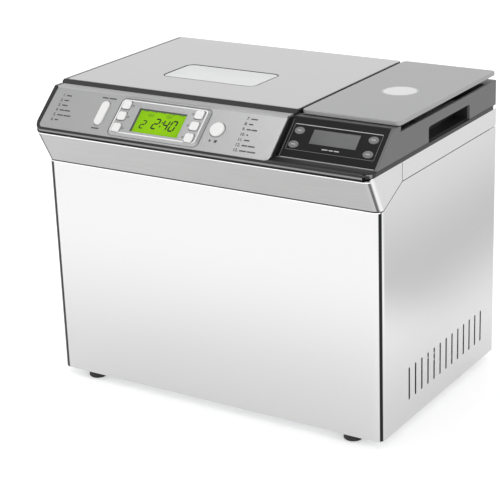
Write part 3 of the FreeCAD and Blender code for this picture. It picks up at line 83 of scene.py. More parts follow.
class Recipe:
    # one material, its node tree and its shader
    def __init__(self, name, **constants):
        self.material = bpy.data.materials.new(name)
        self.material.use_nodes = True
        self.tree = self.material.node_tree
        self.shader = self.tree.nodes["Principled BSDF"]
        for socketName, value in constants.items():
            self.shader.inputs[socketName.replace("_", " ")].default_value = value

    def node(self, kind, settings=None, sockets=None, out=0):
        made = self.tree.nodes.new(kind)
        for key, value in (settings or {}).items():
            if key == "stops":
                ramp = made.color_ramp
                while len(ramp.elements) < len(value):
                    ramp.elements.new(0.5)
                for element, (place, colour) in zip(ramp.elements, value):
                    element.position = place
                    element.color = (*colour, 1)
            else:
                setattr(made, key, value)
        for key, value in (sockets or {}).items():
            self.feed(made.inputs[key], value)
        return Wire(self, made.outputs[out])

    def feed(self, socket, value):
        if isinstance(value, Wire):
            self.tree.links.new(value.socket, socket)
        else:
            socket.default_value = value

    def maths(self, operation, a, b):
        return self.node("ShaderNodeMath", {"operation": operation}, {0: a, 1: b})

    def set(self, socketName, value):
        self.feed(self.shader.inputs[socketName], value)

    def place(self, stretch=(1, 1, 1), turn=(0, 0, 0)):
        start = self.node("ShaderNodeTexCoord", out="Object")
        return self.node("ShaderNodeMapping", sockets={"Vector": start, "Scale": stretch, "Rotation": turn})

    def parts(self, vector):
        return [self.node("ShaderNodeSeparateXYZ", sockets={0: vector}, out=axis) for axis in range(3)]

    def facing(self):
        return self.parts(self.node("ShaderNodeNewGeometry", out="Normal"))

    def noise(self, vector, scale, detail=2.0, roughness=0.5):
        return self.node("ShaderNodeTexNoise", sockets={
            "Vector": vector, "Scale": scale, "Detail": detail, "Roughness": roughness})

    def blend(self, factor, a, b):
        first, second = [c if isinstance(c, Wire) else (*c, 1) for c in (a, b)]
        return self.node("ShaderNodeMix", {"data_type": "RGBA"}, {0: factor, 6: first, 7: second}, out=2)

    def rise(self, value, low, high):
        # 0 below low, 1 above high, and a smooth step between them
        return self.node("ShaderNodeMapRange", {"interpolation_type": "SMOOTHSTEP"}, {
            0: value, 1: low, 2: high})

    def strip(self, value, low, high, softLow, softHigh):
        # 1 between low and high, with a soft edge above each
        return self.rise(value, low, low + softLow) * (1 - self.rise(value, high, high + softHigh))

    def bump(self, height, depth):
        self.set("Normal", self.node("ShaderNodeBump", sockets={
            "Height": height, "Distance": depth, "Strength": 1.0}))


def shade(colour, factor):
    return tuple(min(1.0, c * factor) for c in colour)


def brushedMetal(name, look):
    # grain runs left to right on faces that look forward or up, and front to back on the sides
    r = Recipe(name, Metallic=1.0)
    x, y, z = r.parts(r.place())
    faceX, faceY, faceZ = r.facing()
    sideways = faceX.size().over(0.7)
    along = x * (1 - sideways) + y * sideways
    across = z + y * (1 - sideways)
    grid = r.node("ShaderNodeCombineXYZ", sockets={
        0: along * look["length"], 1: across * look["fineness"], 2: sideways * 3.0})
    grain = r.noise(grid, 1.0, 3.0, 0.6)
    cloud = r.noise(r.place(), look["cloud"], 2.0)
    tone = r.blend(grain * 0.75 + cloud * 0.25, shade(look["colour"], 1 - look["contrast"]),
                   shade(look["colour"], 1 + look["contrast"]))
    # painted light and shade: faces that look sideways get the lighter side colour, forward and upward
    # faces keep the darker tone
    if "sideLitColour" in look:
        tone = r.blend(r.rise(faceX.size(), 0.45, 0.75), tone, look["sideLitColour"])
    if "bend" in look:
        # painted reflection: dark lines where the sheet bends round its upright corners, and painted shade
        # darkening it towards its lower edge
        bend = look["bend"]
        forward = r.rise(0 - faceY, 0.05, 0.2)
        right = r.strip(faceX, *bend["right"])
        left = r.strip(0 - faceX, *bend["left"])
        bendShade = (right * bend["rightDepth"] + left * bend["leftDepth"]) * forward
        tone = r.blend(bendShade, tone, bend["colour"])
        if "lowShadeDepth" in bend:
            low = (1 - r.rise(z, bend["lowFrom"], bend["lowTo"])) * bend["lowShadeDepth"]
            tone = r.blend(low, tone, bend["colour"])
    for low, high, paintedLineTone in look.get("edges", ()):
        # painted highlight lines along cut edges, and painted shade lines at gaps
        fine = 0.15 * mm
        line = r.strip(z, low, high, fine, fine) * r.rise(0 - faceY, 0.5, 0.6)
        tone = r.blend(line, tone, (paintedLineTone, paintedLineTone, paintedLineTone))
    r.set("Base Color", tone)
    r.set("Roughness", look["rough"] + grain * look["roughSpread"] + cloud * 0.04)
    r.bump(grain, look["depth"])
    return r.material


def mouldedPlastic(name, look):
    # spark-eroded mould texture with faint rubbed patches, and, where asked, a painted highlight stripe on
    # the rim's nose
    r = Recipe(name, Specular_IOR_Level=look.get("specular", 0.45))
    fine = r.noise(r.place(), look["grain"], 3.0, 0.65)
    wide = r.noise(r.place(), 14.0, 3.0)
    tone = r.blend(fine * 0.55 + wide * 0.45, shade(look["colour"], 0.88), shade(look["colour"], 1.12))
    if "paintedRimHighlight" in look:
        # painted highlight: a lighter grey stripe on the rim's nose just above the brow, chosen by the way
        # the face looks
        paintedRimHighlight = look["paintedRimHighlight"]
        _, faceY, faceZ = r.facing()
        z = r.parts(r.place())[2]
        _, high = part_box("brow_cap")
        limit = high.z + paintedRimHighlight["reach"] * mm
        edge = r.strip(faceZ, *paintedRimHighlight["range"]) * r.rise(0 - faceY, 0.5, 0.62)
        edge = edge * (1 - r.rise(z, limit, limit + 0.3 * mm))
        tone = r.blend(edge * (0.85 + wide * 0.3), tone, paintedRimHighlight["colour"])
    r.set("Base Color", tone)
    r.set("Roughness", look["rough"] + wide * 0.08 + fine * 0.06)
    r.bump(fine, look["depth"])
    return r.material


def glossyPlastic(name, look):
    r = Recipe(name, Coat_Roughness=0.08)
    wide = r.noise(r.place(), 30.0, 2.0)
    fine = r.noise(r.place(), 900.0, 2.0)
    r.set("Base Color", r.blend(wide, shade(look["colour"], 0.97), shade(look["colour"], 1.03)))
    r.set("Roughness", look["rough"] + wide * 0.05)
    r.set("Coat Weight", look["coat"] + wide * 0.1)
    r.bump(fine, 0.000004)
    return r.material


def silverLacquer(name, look):
    # metal flakes in a clear lacquer
    r = Recipe(name, Coat_Roughness=0.25)
    flake = r.node("ShaderNodeTexVoronoi", {"feature": "F1"}, {"Vector": r.place(), "Scale": 3200.0},
                   out="Color")
    level = r.parts(flake)[0]
    wide = r.noise(r.place((1, 3, 3)), 9.0, 3.0)
    r.set("Base Color", r.blend(level * 0.6 + wide * 0.4, shade(look["colour"], 0.92),
                                shade(look["colour"], 1.06)))
    r.set("Metallic", look["metal"] + level * 0.1)
    r.set("Roughness", look["rough"] + level * 0.06 + wide * 0.05)
    r.set("Coat Weight", 0.15 + wide * 0.1)
    r.bump(level, 0.000006)
    return r.material


def speckledCoat(name, look):
    # stoved non-stick coat with fine light specks
    r = Recipe(name)
    cell = r.node("ShaderNodeTexVoronoi", {"feature": "F1"}, {"Vector": r.place(), "Scale": look["specks"]})
    speck = 1 - cell.over(0.16)
    wide = r.noise(r.place(), 25.0, 3.0)
    r.set("Base Color", r.blend(speck * 0.55 + wide * 0.2, look["colour"], look["speck"]))
    r.set("Roughness", look["rough"] + wide * 0.12)
    r.set("Metallic", 0.25 + speck * 0.3)
    r.bump(r.noise(r.place(), 700.0, 2.0), 0.00001)
    return r.material


def zincSheet(name, look):
    # large crystals of zinc
    r = Recipe(name)
    crystal = r.parts(r.node("ShaderNodeTexVoronoi", sockets={
        "Vector": r.place(), "Scale": look["crystals"], "Randomness": 1.0}, out="Color"))[0]
    wide = r.noise(r.place(), 18.0, 4.0)
    r.set("Base Color", r.blend(crystal * 0.7 + wide * 0.3, shade(look["colour"], 0.86),
                                shade(look["colour"], 1.08)))
    r.set("Metallic", 0.85 + crystal * 0.1)
    r.set("Roughness", look["rough"] + crystal * 0.12)
    r.bump(wide, 0.00003)
    return r.material


def rubberSkin(name, look):
    r = Recipe(name, Specular_IOR_Level=0.3)
    dust = r.noise(r.place(), 60.0, 4.0, 0.7)
    fine = r.noise(r.place(), 1500.0, 2.0)
    r.set("Base Color", r.blend(dust, shade(look["colour"], 0.75), shade(look["colour"], 1.5)))
    r.set("Roughness", 0.62 + dust * 0.2)
    r.bump(fine, 0.00002)
    return r.material


def litDisplay(name, look):
    # backlit display: brighter in the middle, with a faint cell grid
    r = Recipe(name, Roughness=0.45, Emission_Strength=look["glow"], Specular_IOR_Level=0.1)
    x, y, _ = r.parts(r.place())
    middleX, middleY = look["middle"]
    far = ((x - middleX) / look["spread"]) ** 2 + ((y - middleY) / look["spread"]) ** 2
    grid = r.node("ShaderNodeTexWave", {"bands_direction": "X"}, {"Vector": r.place(), "Scale": 420.0})
    level = far * 0.8 + grid * 0.06
    colour = r.blend(level, look["colour"], look["edge"])
    r.set("Base Color", colour)
    r.set("Emission Color", colour)
    return r.material


def clearGlass(name, look):
    r = Recipe(name, Coat_Weight=0.5, Coat_Roughness=0.02, Specular_IOR_Level=0.6)
    smear = r.noise(r.place((1, 2, 1)), 12.0, 4.0)
    r.set("Base Color", r.blend(smear, shade(look["colour"], 0.97), look["colour"]))
    r.set("Roughness", look["rough"] + smear * 0.05)
    r.set("Alpha", look["alpha"] + smear * 0.05)
    return r.material


def circuitBoard(name, look):
    r = Recipe(name, Coat_Weight=0.3)
    tracks = r.node("ShaderNodeTexBrick", {"offset": 0.35}, {
        "Vector": r.place(turn=(0, math.radians(90), 0)), "Scale": 90.0, "Mortar Size": 0.03})
    line = r.parts(tracks)[0]
    weave = r.noise(r.place(), 400.0, 2.0)
    r.set("Base Color", r.blend(line * 0.7 + weave * 0.2, look["colour"], look["track"]))
    r.set("Roughness", 0.28 + weave * 0.15)
    r.bump(line, 0.00003)
    return r.material


def turnedMetal(name, look):
    # fine rings round an upright axis, as a lathe leaves
    r = Recipe(name, Metallic=1.0)
    ring = r.node("ShaderNodeTexWave", {"bands_direction": "Z"}, {
        "Vector": r.place(), "Scale": look["rings"], "Distortion": 0.6})
    stain = r.noise(r.place(), 45.0, 4.0)
    r.set("Base Color", r.blend(ring * 0.4 + stain * 0.6, shade(look["colour"], 0.8),
                                shade(look["colour"], 1.1)))
    r.set("Roughness", look["rough"] + ring * 0.08 + stain * 0.12)
    r.bump(ring, 0.00001)
    return r.material


def heatedSheath(name, look):
    # oxide scale and bands of heat tint
    r = Recipe(name)
    scale = r.noise(r.place(), 160.0, 5.0, 0.7)
    band = r.noise(r.place((1, 1, 0.2)), 22.0, 3.0)
    r.set("Base Color", r.blend(scale * 0.5 + band * 0.5, look["colour"], look["tint"]))
    r.set("Metallic", 0.6 + band * 0.2)
    r.set("Roughness", 0.42 + scale * 0.2)
    r.bump(scale, 0.00004)
    return r.material


def printInk(name, look):
    r = Recipe(name, Specular_IOR_Level=0.3)
    fleck = r.noise(r.place(), 1800.0, 2.0)
    r.set("Base Color", r.blend(fleck, shade(look["colour"], 0.9), shade(look["colour"], 1.1)))
    r.set("Roughness", 0.5 + fleck * 0.15)
    return r.material


# --- finishes of the pieces, by the record's slots
# the painted shade's right and left, and the painted rim highlight's range, are a low, a high and two soft
# edges of where a face looks;
# the painted rim highlight reaches some millimetres above the brow
finishes = {
    "steel": (brushedMetal, {
        "colour": (0.78, 0.78, 0.777), "rough": 0.16, "roughSpread": 0.08, "length": 14.0,
        "fineness": 2200.0, "contrast": 0.022, "cloud": 5.0, "depth": 0.000003,
        # painted shade: dark reflection lines in the bends, and darker towards the lower edge
        "bend": {"right": (0.64, 0.88, 0.05, 0.05), "left": (0.08, 0.98, 0.08, 0.01), "rightDepth": 1.0,
                 "leftDepth": 1.0, "colour": (0.022, 0.022, 0.023), "lowFrom": 0.0, "lowTo": 0.20,
                 "lowShadeDepth": 0.22}}),
    "grained_steel": (brushedMetal, {
        "colour": (0.48, 0.48, 0.478), "rough": 0.24, "roughSpread": 0.14, "length": 10.0,
        "fineness": 1100.0, "contrast": 0.12, "cloud": 6.0, "depth": 0.000007,
        # painted light: sideways faces lighter than forward and upward ones
        "sideLitColour": (0.78, 0.78, 0.777),
        # painted shade: dark reflection lines in the brow's bends
        "bend": {"right": (0.50, 0.72, 0.10, 0.14), "left": (0.12, 0.98, 0.10, 0.01), "rightDepth": 0.85,
                 "leftDepth": 0.9, "colour": (0.035, 0.035, 0.036)}}),
    "chamber_steel": (brushedMetal, {
        "colour": (0.55, 0.55, 0.54), "rough": 0.30, "roughSpread": 0.12, "length": 30.0,
        "fineness": 1500.0, "contrast": 0.08, "cloud": 12.0, "depth": 0.00002}),
    "platform_metal": (silverLacquer, {"colour": (0.35, 0.35, 0.354), "rough": 0.42, "metal": 0.35}),
    "silver_plastic": (silverLacquer, {"colour": (0.425, 0.425, 0.428), "rough": 0.34, "metal": 0.65}),
    "zinc_steel": (zincSheet, {"colour": (0.60, 0.61, 0.62), "rough": 0.34, "crystals": 90.0}),
    "black_plastic": (mouldedPlastic, {
        "colour": (0.024, 0.024, 0.025), "rough": 0.26, "grain": 1100.0, "depth": 0.000006,
        "specular": 0.32,
        # painted highlight along the rim's nose above the brow
        "paintedRimHighlight": {"range": (-0.40, 0.10, 0.10, 0.12), "reach": 3.4, "colour": (0.25, 0.25, 0.255)}}),
    "grey_plastic": (mouldedPlastic, {
        "colour": (0.130, 0.130, 0.132), "rough": 0.46, "grain": 1000.0, "depth": 0.000015}),
    "scale_panel": (mouldedPlastic, {
        "colour": (0.008, 0.008, 0.0085), "rough": 0.42, "grain": 1400.0, "depth": 0.000006,
        "specular": 0.14}),
    "inner_plastic": (mouldedPlastic, {
        "colour": (0.06, 0.06, 0.062), "rough": 0.5, "grain": 600.0, "depth": 0.00002}),
    "pulley_plastic": (mouldedPlastic, {
        "colour": (0.72, 0.70, 0.64), "rough": 0.42, "grain": 500.0, "depth": 0.00001}),
    "scale_key_grey": (mouldedPlastic, {
        "colour": (0.17, 0.17, 0.172), "rough": 0.42, "grain": 1500.0, "depth": 0.000008}),
    "white_keys": (glossyPlastic, {"colour": (0.82, 0.82, 0.81), "rough": 0.30, "coat": 0.15}),
    "white_badge": (glossyPlastic, {"colour": (0.66, 0.66, 0.66), "rough": 0.30, "coat": 0.10}),
    "scale_display": (glossyPlastic, {"colour": (0.060, 0.063, 0.061), "rough": 0.30, "coat": 0.10}),
    "motor_paint": (glossyPlastic, {"colour": (0.05, 0.055, 0.065), "rough": 0.40, "coat": 0.1}),
    "window_glass": (clearGlass, {"colour": (0.80, 0.81, 0.81), "rough": 0.10, "alpha": 0.72}),
    "rubber": (rubberSkin, {"colour": (0.022, 0.022, 0.022)}),
    "pan_coating": (speckledCoat, {
        "colour": (0.030, 0.030, 0.032), "speck": (0.22, 0.22, 0.22), "specks": 900.0, "rough": 0.36}),
    "heater_metal": (heatedSheath, {"colour": (0.10, 0.095, 0.09), "tint": (0.22, 0.17, 0.14)}),
    "circuit_board": (circuitBoard, {"colour": (0.012, 0.11, 0.045), "track": (0.06, 0.25, 0.12)}),
    "screw_steel": (turnedMetal, {"colour": (0.62, 0.62, 0.62), "rough": 0.22, "rings": 300.0}),
    "aluminium": (turnedMetal, {"colour": (0.70, 0.71, 0.72), "rough": 0.32, "rings": 120.0}),
    "motor_steel": (turnedMetal, {"colour": (0.45, 0.45, 0.46), "rough": 0.34, "rings": 260.0}),
    "motor_pulley": (turnedMetal, {"colour": (0.62, 0.47, 0.20), "rough": 0.28, "rings": 400.0}),
    "bearing_bronze": (turnedMetal, {"colour": (0.42, 0.28, 0.12), "rough": 0.45, "rings": 200.0}),
}


# --- helpers at the bench
stripCorner = 0.1 * mm
letIn = 0.01 * mm  # how far a printed mark goes into the face under it
faceReach = 8 * mm  # how far up a plate its sloping face is looked for
keySides = ("left", "right")
keyRows = ("upper", "middle", "lower")


def clearSelection():
    if bpy.context.object and bpy.context.object.mode != "OBJECT":
        bpy.ops.object.mode_set(mode="OBJECT")
    bpy.ops.object.select_all(action="DESELECT")


def moved(piece, matrix):
    # the place goes into the mesh, and the object stays at the origin
    piece.data.transform(matrix)
    return piece


def twinAt(piece, matrix):
    twin = piece.copy()
    twin.data = piece.data.copy()
    bpy.context.collection.objects.link(twin)
    return moved(twin, matrix)


def joined(pieces):
    clearSelection()
    for piece in pieces:
        piece.select_set(True)
    bpy.context.view_layer.objects.active = pieces[0]
    bpy.ops.object.join()
    return bpy.context.object


def discard(*pieces):
    for piece in pieces:
        bpy.data.objects.remove(piece)


def finishPiece(piece, name, body, material):
    piece.name = name
    piece.data.materials.clear()
    piece.data.materials.append(material)
    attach(piece, body)


def thicken(thickness, line):
    # in edit mode: only the outline stays when a line width is given, then it gets its thickness
    bpy.ops.mesh.select_all(action="SELECT")
    if line:
        bpy.ops.mesh.inset(thickness=line)
        bpy.ops.mesh.delete(type="FACE")
        bpy.ops.mesh.select_all(action="SELECT")
    bpy.ops.mesh.extrude_region_move(TRANSFORM_OT_translate={"value": (0, 0, thickness)})
    bpy.ops.mesh.select_all(action="SELECT")
    bpy.ops.mesh.normals_make_consistent(inside=False)
    bpy.ops.object.mode_set(mode="OBJECT")


def sheetPiece(width, height, corner, thickness, line=0.0, steps=4):
    # a flat plate with round corners
    clearSelection()
    bpy.ops.mesh.primitive_plane_add(size=1)
    piece = bpy.context.object
    bpy.ops.object.mode_set(mode="EDIT")
    bpy.ops.transform.resize(value=(width, height, 1))
    bpy.ops.mesh.bevel(offset=corner, segments=steps, affect="VERTICES")
    thicken(thickness, line)
    return piece


def discPiece(radius, thickness, line=0.0, sides=48, stretch=1.0):
    clearSelection()
    bpy.ops.mesh.primitive_circle_add(vertices=sides, radius=radius, fill_type="NGON")
    piece = bpy.context.object
    bpy.ops.object.mode_set(mode="EDIT")
    bpy.ops.transform.resize(value=(1, stretch, 1))
    thicken(thickness, line)
    return piece


numberLook = {"weight": 0.022, "curveSteps": 3, "weld": 0.005}


def numberPiece(words, size, thickness):
    clearSelection()
    bpy.ops.object.text_add()
    written = bpy.context.object
    written.data.body = words
    written.data.size = size
    written.data.extrude = thickness / 2
    written.data.offset = size * numberLook["weight"]
    written.data.resolution_u = numberLook["curveSteps"]
    bpy.ops.object.convert(target="MESH")
    piece = bpy.context.object
    bpy.ops.object.mode_set(mode="EDIT")
    bpy.ops.mesh.select_all(action="SELECT")
    bpy.ops.mesh.remove_doubles(threshold=numberLook["weld"] * mm)
    bpy.ops.transform.translate(value=(0, 0, thickness / 2))
    bpy.ops.object.mode_set(mode="OBJECT")
    return piece


class Slope:
    # a sloping panel: across to the right, up the slope, and out of its face
    def __init__(self, pressJoint):
        joints = {joint["name"]: joint for joint in frame["record"]["behaviour"]["joints"]}
        self.out = -Vector(joints[pressJoint]["axis"]).normalized()
        self.across = Vector((1, 0, 0))
        self.up = self.out.cross(self.across)

    def points(self, node):
        return [Vector([v.co.dot(axis) for axis in (self.across, self.up, self.out)])
                for v in frame["nodes"][node].data.vertices]

    def span(self, node):
        points = self.points(node)
        low = Vector([min(p[axis] for p in points) for axis in range(3)])
        high = Vector([max(p[axis] for p in points) for axis in range(3)])
        return low, high

    def middle(self, node):
        low, high = self.span(node)
        return (low + high) / 2

    def face(self, node):
        # height of a plate's sloping face, found just above its lower edge
        points = self.points(node)
        limit = min(p.y for p in points) + faceReach
        return max(p.z for p in points if p.y < limit)

    def at(self, x, s, w):
        turn = Matrix((self.across, self.up, self.out)).transposed().to_4x4()
        turn.translation = self.across * x + self.up * s + self.out * w
        return turn


# --- camera, light and floor
cameraLook = {"place": (0.88135, -1.39272, 0.74526), "aim": (-0.02587, 0.0, 0.13455), "roll": -2.097,
              "lens": 116.57, "sensor": 36.0}


def setCamera():
    data = bpy.data.cameras.new("camera")
    data.lens = cameraLook["lens"]
    data.sensor_width = cameraLook["sensor"]
    camera = bpy.data.objects.new("camera", data)
    bpy.context.scene.collection.objects.link(camera)
    camera.location = cameraLook["place"]
    sight = Vector(cameraLook["aim"]) - Vector(cameraLook["place"])
    turn = sight.to_track_quat("-Z", "Y").to_matrix().to_4x4()
    roll = Matrix.Rotation(math.radians(cameraLook["roll"]), 4, "Z")
    camera.matrix_world = Matrix.Translation(camera.location) @ turn @ roll
    bpy.context.scene.camera = camera
    print("camera set")


lampAim = (0, 0, 0.15)
lampLooks = {
    "keyLight": {"place": (-0.70, -0.35, 2.50), "size": (0.9, 0.9), "power": 10.0},
    "fillLight": {"place": (1.6, -1.8, 1.8), "size": (1.4, 1.4), "power": 3.0},
    "rearLight": {"place": (0.3, 1.3, 2.4), "size": (1.6, 1.0), "power": 7.0},
}
skyLook = {"low": (1.50, 1.50, 1.50), "high": (0.34, 0.34, 0.345), "strength": 1.0}


def setLights():
    for name, look in lampLooks.items():
        data = bpy.data.lights.new(name, "AREA")
        data.shape = "RECTANGLE"
        data.size, data.size_y = look["size"]
        data.energy = look["power"]
        lamp = bpy.data.objects.new(name, data)
        bpy.context.scene.collection.objects.link(lamp)
        lamp.location = look["place"]
        lamp.rotation_euler = (Vector(lampAim) - lamp.location).to_track_quat("-Z", "Y").to_euler()
    world = bpy.data.worlds.new("studio")
    bpy.context.scene.world = world
    world.use_nodes = True
    nodes, links = world.node_tree.nodes, world.node_tree.links
    place = nodes.new("ShaderNodeTexCoord")
    split = nodes.new("ShaderNodeSeparateXYZ")
    ramp = nodes.new("ShaderNodeValToRGB")
    ramp.color_ramp.elements[0].color = (*skyLook["low"], 1)
    ramp.color_ramp.elements[1].color = (*skyLook["high"], 1)
    links.new(place.outputs["Generated"], split.inputs[0])
    links.new(split.outputs[2], ramp.inputs[0])
    links.new(ramp.outputs[0], nodes["Background"].inputs[0])
    nodes["Background"].inputs[1].default_value = skyLook["strength"]
    bpy.context.scene.view_settings.view_transform = "Standard"
    print("lights set")


floorLook = {
    "size": 14.0, "colour": (0.90, 0.90, 0.90), "glow": 0.36,
    "dimFrom": 0.25, "dimOver": 0.15, "behind": (0.10, 0.30), "dimColour": (0.66, 0.66, 0.66),
    "farGlow": 0.32, "farFrom": 0.42, "farOver": 0.16,
}


def setFloor():
    # pale paper that glows a little, dimmer behind the machine's right where its steel side mirrors it
    look = floorLook
    clearSelection()
    bpy.ops.mesh.primitive_grid_add(x_subdivisions=8, y_subdivisions=8, size=look["size"])
    floor = bpy.context.object
    floor.name = "studioFloor"
    r = Recipe("floorPaper", Roughness=0.9, Specular_IOR_Level=0.1, Emission_Strength=1.0)
    fibre = r.noise(r.place(), 40.0, 4.0)
    x, y, _ = r.parts(r.place())
    dim = r.rise(x, look["dimFrom"], look["dimFrom"] + look["dimOver"]) * r.rise(y, *look["behind"])
    far = r.rise(x, look["farFrom"], look["farFrom"] + look["farOver"])
    r.set("Base Color", r.blend(dim * (0.98 + fibre * 0.04), look["colour"], look["dimColour"]))
    glow = look["glow"] * (1 - dim) + far * dim * look["farGlow"]
    r.set("Emission Color", r.blend(glow, (0, 0, 0), (1, 1, 1)))
    floor.data.materials.append(r.material)
    print("floor set")


# --- materials of the imported pieces
# painted highlight and painted shade lines along the steel's seams
edgeLook = {
    "highlightTone": 0.97, "sheetGap": 0.8, "sheetEdge": (1.2, 0.1),  # below and above the sheet's top
    "gapShadeTone": 0.06, "gapLine": (0.2, 0.5),  # below and above the brow's foot
    "lipLine": (4.4, 3.2),  # below the brow's top
}
inks = {
    "greyInk": (0.075, 0.075, 0.075), "blackInk": (0.004, 0.007, 0.002), "shadowInk": (0.10, 0.22, 0.003),
    "palePrintAndHighlight": (0.50, 0.50, 0.50), "dimInk": (0.16, 0.16, 0.16), "paintedShadowTone": (0.11, 0.11, 0.11),
    "paintedHighlightTone": (0.92, 0.92, 0.92),
}


def steelEdgeHighlightsAndShade():
    # painted highlight on the front sheet's cut edge, painted shade at the gap under the brow and painted
    # highlight on the brow's top lip
    look = edgeLook
    low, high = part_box("brow_cap")
    sheetTop = low.z - look["sheetGap"] * mm
    below, above = look["sheetEdge"]
    finishes["steel"][1]["edges"] = [(sheetTop - below * mm, sheetTop + above * mm, look["highlightTone"])]
    gapBelow, gapAbove = look["gapLine"]
    lipFrom, lipTo = look["lipLine"]
    finishes["grained_steel"][1]["edges"] = [
        (low.z - gapBelow * mm, low.z + gapAbove * mm, look["gapShadeTone"]),
        (high.z - lipFrom * mm, high.z - lipTo * mm, look["highlightTone"]),
    ]


def dressNodes():
    steelEdgeHighlightsAndShade()
    made = {slot: maker(slot, look) for slot, (maker, look) in finishes.items()}
    low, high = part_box("display_lcd")
    made["green_display"] = litDisplay("green_display", {
        "colour": (0.23, 0.48, 0.0015), "edge": (0.13, 0.34, 0.0015), "glow": 0.22,
        "middle": ((low.x + high.x) / 2, (low.y + high.y) / 2), "spread": (high.x - low.x) * 0.75})
    for entry in frame["record"]["subparts"]:
        for slot in frame["nodes"][entry["node"]].material_slots:
            slot.material = made[entry["material_slot"]]
    for name, colour in inks.items():
        made[name] = printInk(name, {"colour": colour})
    print("finishes:", len(made))
    return made


# --- figures on the display: shares of its width and height, but proud is in millimetres
displayLook = {
    "digitHeight": 0.41, "digitWidth": 0.100, "stroke": 0.0576, "lean": 0.20, "proud": 0.06,
    "programAt": (0.135, 0.22), "programScale": 0.78,
    "timeAt": (0.375, 0.265), "pitch": 0.155, "hourGap": 0.045, "dotsAt": 0.158, "dotRises": (0.3, 0.7),
    "tickCount": 16, "tickFill": 0.62, "tickHeight": 0.028, "tickCorner": 0.008, "tickTop": 0.965,
    "tickStep": 0.018, "tickStart": 0.55,
    "ovals": ((0.27, 0.79), (0.65, 0.82)), "ovalRadius": 0.066, "ovalLine": 0.007, "ovalStretch": 0.55,
    "wordWidth": 0.075, "wordHeight": 0.03, "wordCorner": 0.01,
}
segmentsOf = {"0": "abcdef", "2": "abdeg", "4": "bcfg"}


def segmentPlaces(width, height):
    # the middle of each segment, and whether it is upright
    half = height / 2
    return {
        "a": (width / 2, height, False), "b": (width, half + half / 2, True),
        "c": (width, half / 2, True), "d": (width / 2, 0, False), "e": (0, half / 2, True),
        "f": (0, half + half / 2, True), "g": (width / 2, half, False),
    }


def digitPieces(figure, width, height, stroke, thick):
    # segments with pointed ends, copied from a flat one and a tall one
    gap, point = stroke * 0.25, stroke * 0.49
    flat = sheetPiece(width - gap, stroke, point, thick, steps=1)
    tall = sheetPiece(stroke, height / 2 - gap, point, thick, steps=1)
    places = segmentPlaces(width, height)
    pieces = []
    for letter in segmentsOf[figure]:
        x, y, upright = places[letter]
        pieces.append(twinAt(tall if upright else flat, Matrix.Translation((x, y, 0))))
    discard(flat, tall)
    return pieces


def displayFigures(panel, materials):
    look = displayLook
    low, high = panel.span("display_lcd")
    wide, tall = high.x - low.x, high.y - low.y
    thick = look["proud"] * mm
    width, height, stroke = look["digitWidth"] * wide, look["digitHeight"] * tall, look["stroke"] * tall
    lean = Matrix.Identity(4)
    lean[0][1] = look["lean"]

    def spotAt(u, v):
        return panel.at(low.x + u * wide, low.y + v * tall, high.z)

    def figureAt(figure, u, v, scale=1.0):
        return [twinAt(piece, spotAt(u, v) @ lean @ Matrix.Scale(scale, 4)) for piece in drafts[figure]]

    drafts = {figure: digitPieces(figure, width, height, stroke, thick) for figure in segmentsOf}
    pieces = figureAt("2", *look["programAt"], look["programScale"])
    u, v = look["timeAt"]
    for step, figure in enumerate("240"):
        shift = step * look["pitch"] + (look["hourGap"] if step else 0)
        pieces += figureAt(figure, u + shift, v)
    dot = sheetPiece(stroke, stroke, stroke * 0.2, thick)
    for part in look["dotRises"]:
        rise = part * height
        place = Matrix.Translation((look["lean"] * rise, rise, 0))
        pieces.append(twinAt(dot, spotAt(u + look["dotsAt"], v) @ place))
    discard(dot, *(piece for draft in drafts.values() for piece in draft))
    finishPiece(joined(pieces), "displayFigures", "casing", materials["blackInk"])

    marks = []
    count = look["tickCount"]
    tick = sheetPiece(wide / count * look["tickFill"], tall * look["tickHeight"], tall * look["tickCorner"],
                      thick)
    for step in range(count):
        rise = look["tickTop"] - look["tickStep"] * (step % 3)
        marks.append(twinAt(tick, spotAt((step + look["tickStart"]) / count, rise)))
    oval = discPiece(wide * look["ovalRadius"], thick, line=wide * look["ovalLine"],
                     stretch=look["ovalStretch"])
    word = sheetPiece(wide * look["wordWidth"], tall * look["wordHeight"], tall * look["wordCorner"], thick)
    for place in look["ovals"]:
        marks += [twinAt(oval, spotAt(*place)), twinAt(word, spotAt(*place))]
    discard(tick, oval, word)
    finishPiece(joined(marks), "displayMarks", "casing", materials["shadowInk"])
    print("display figures made")


# --- painted highlight and painted shadow lines round the display module
moduleLook = {
    "proud": 0.04, "keyShadow": 0.75, "keyLine": 0.6, "keyCorner": 2.6, "keyShift": 0.15,
    "lcdTop": 1.3, "lcdSide": 1.5, "bezelShadow": 0.9, "bezelRise": 1.08, "bezelCorner": 6.6,
    "bezelShine": 1.1, "shineCorner": 4.0, "startShadow": 0.8, "startLine": 0.64,
}


def keyShadows(panel, thick):
    # painted shadow rings round the six keys, a little towards the lower right
    look = moduleLook
    low, high = panel.span("key_upper_left")
    wide = high.x - low.x + 2 * look["keyShadow"] * mm
    ring = sheetPiece(wide, wide, look["keyCorner"] * mm, thick, line=look["keyLine"] * mm)
    _, moduleHigh = panel.span("display_frame")
    shift = look["keyShift"] * mm
    rings = []
    for side in keySides:
        for row in keyRows:
            key = panel.middle("key_" + row + "_" + side)
            rings.append(twinAt(ring, panel.at(key.x + shift, key.y - shift, moduleHigh.z)))
    discard(ring)
    return rings


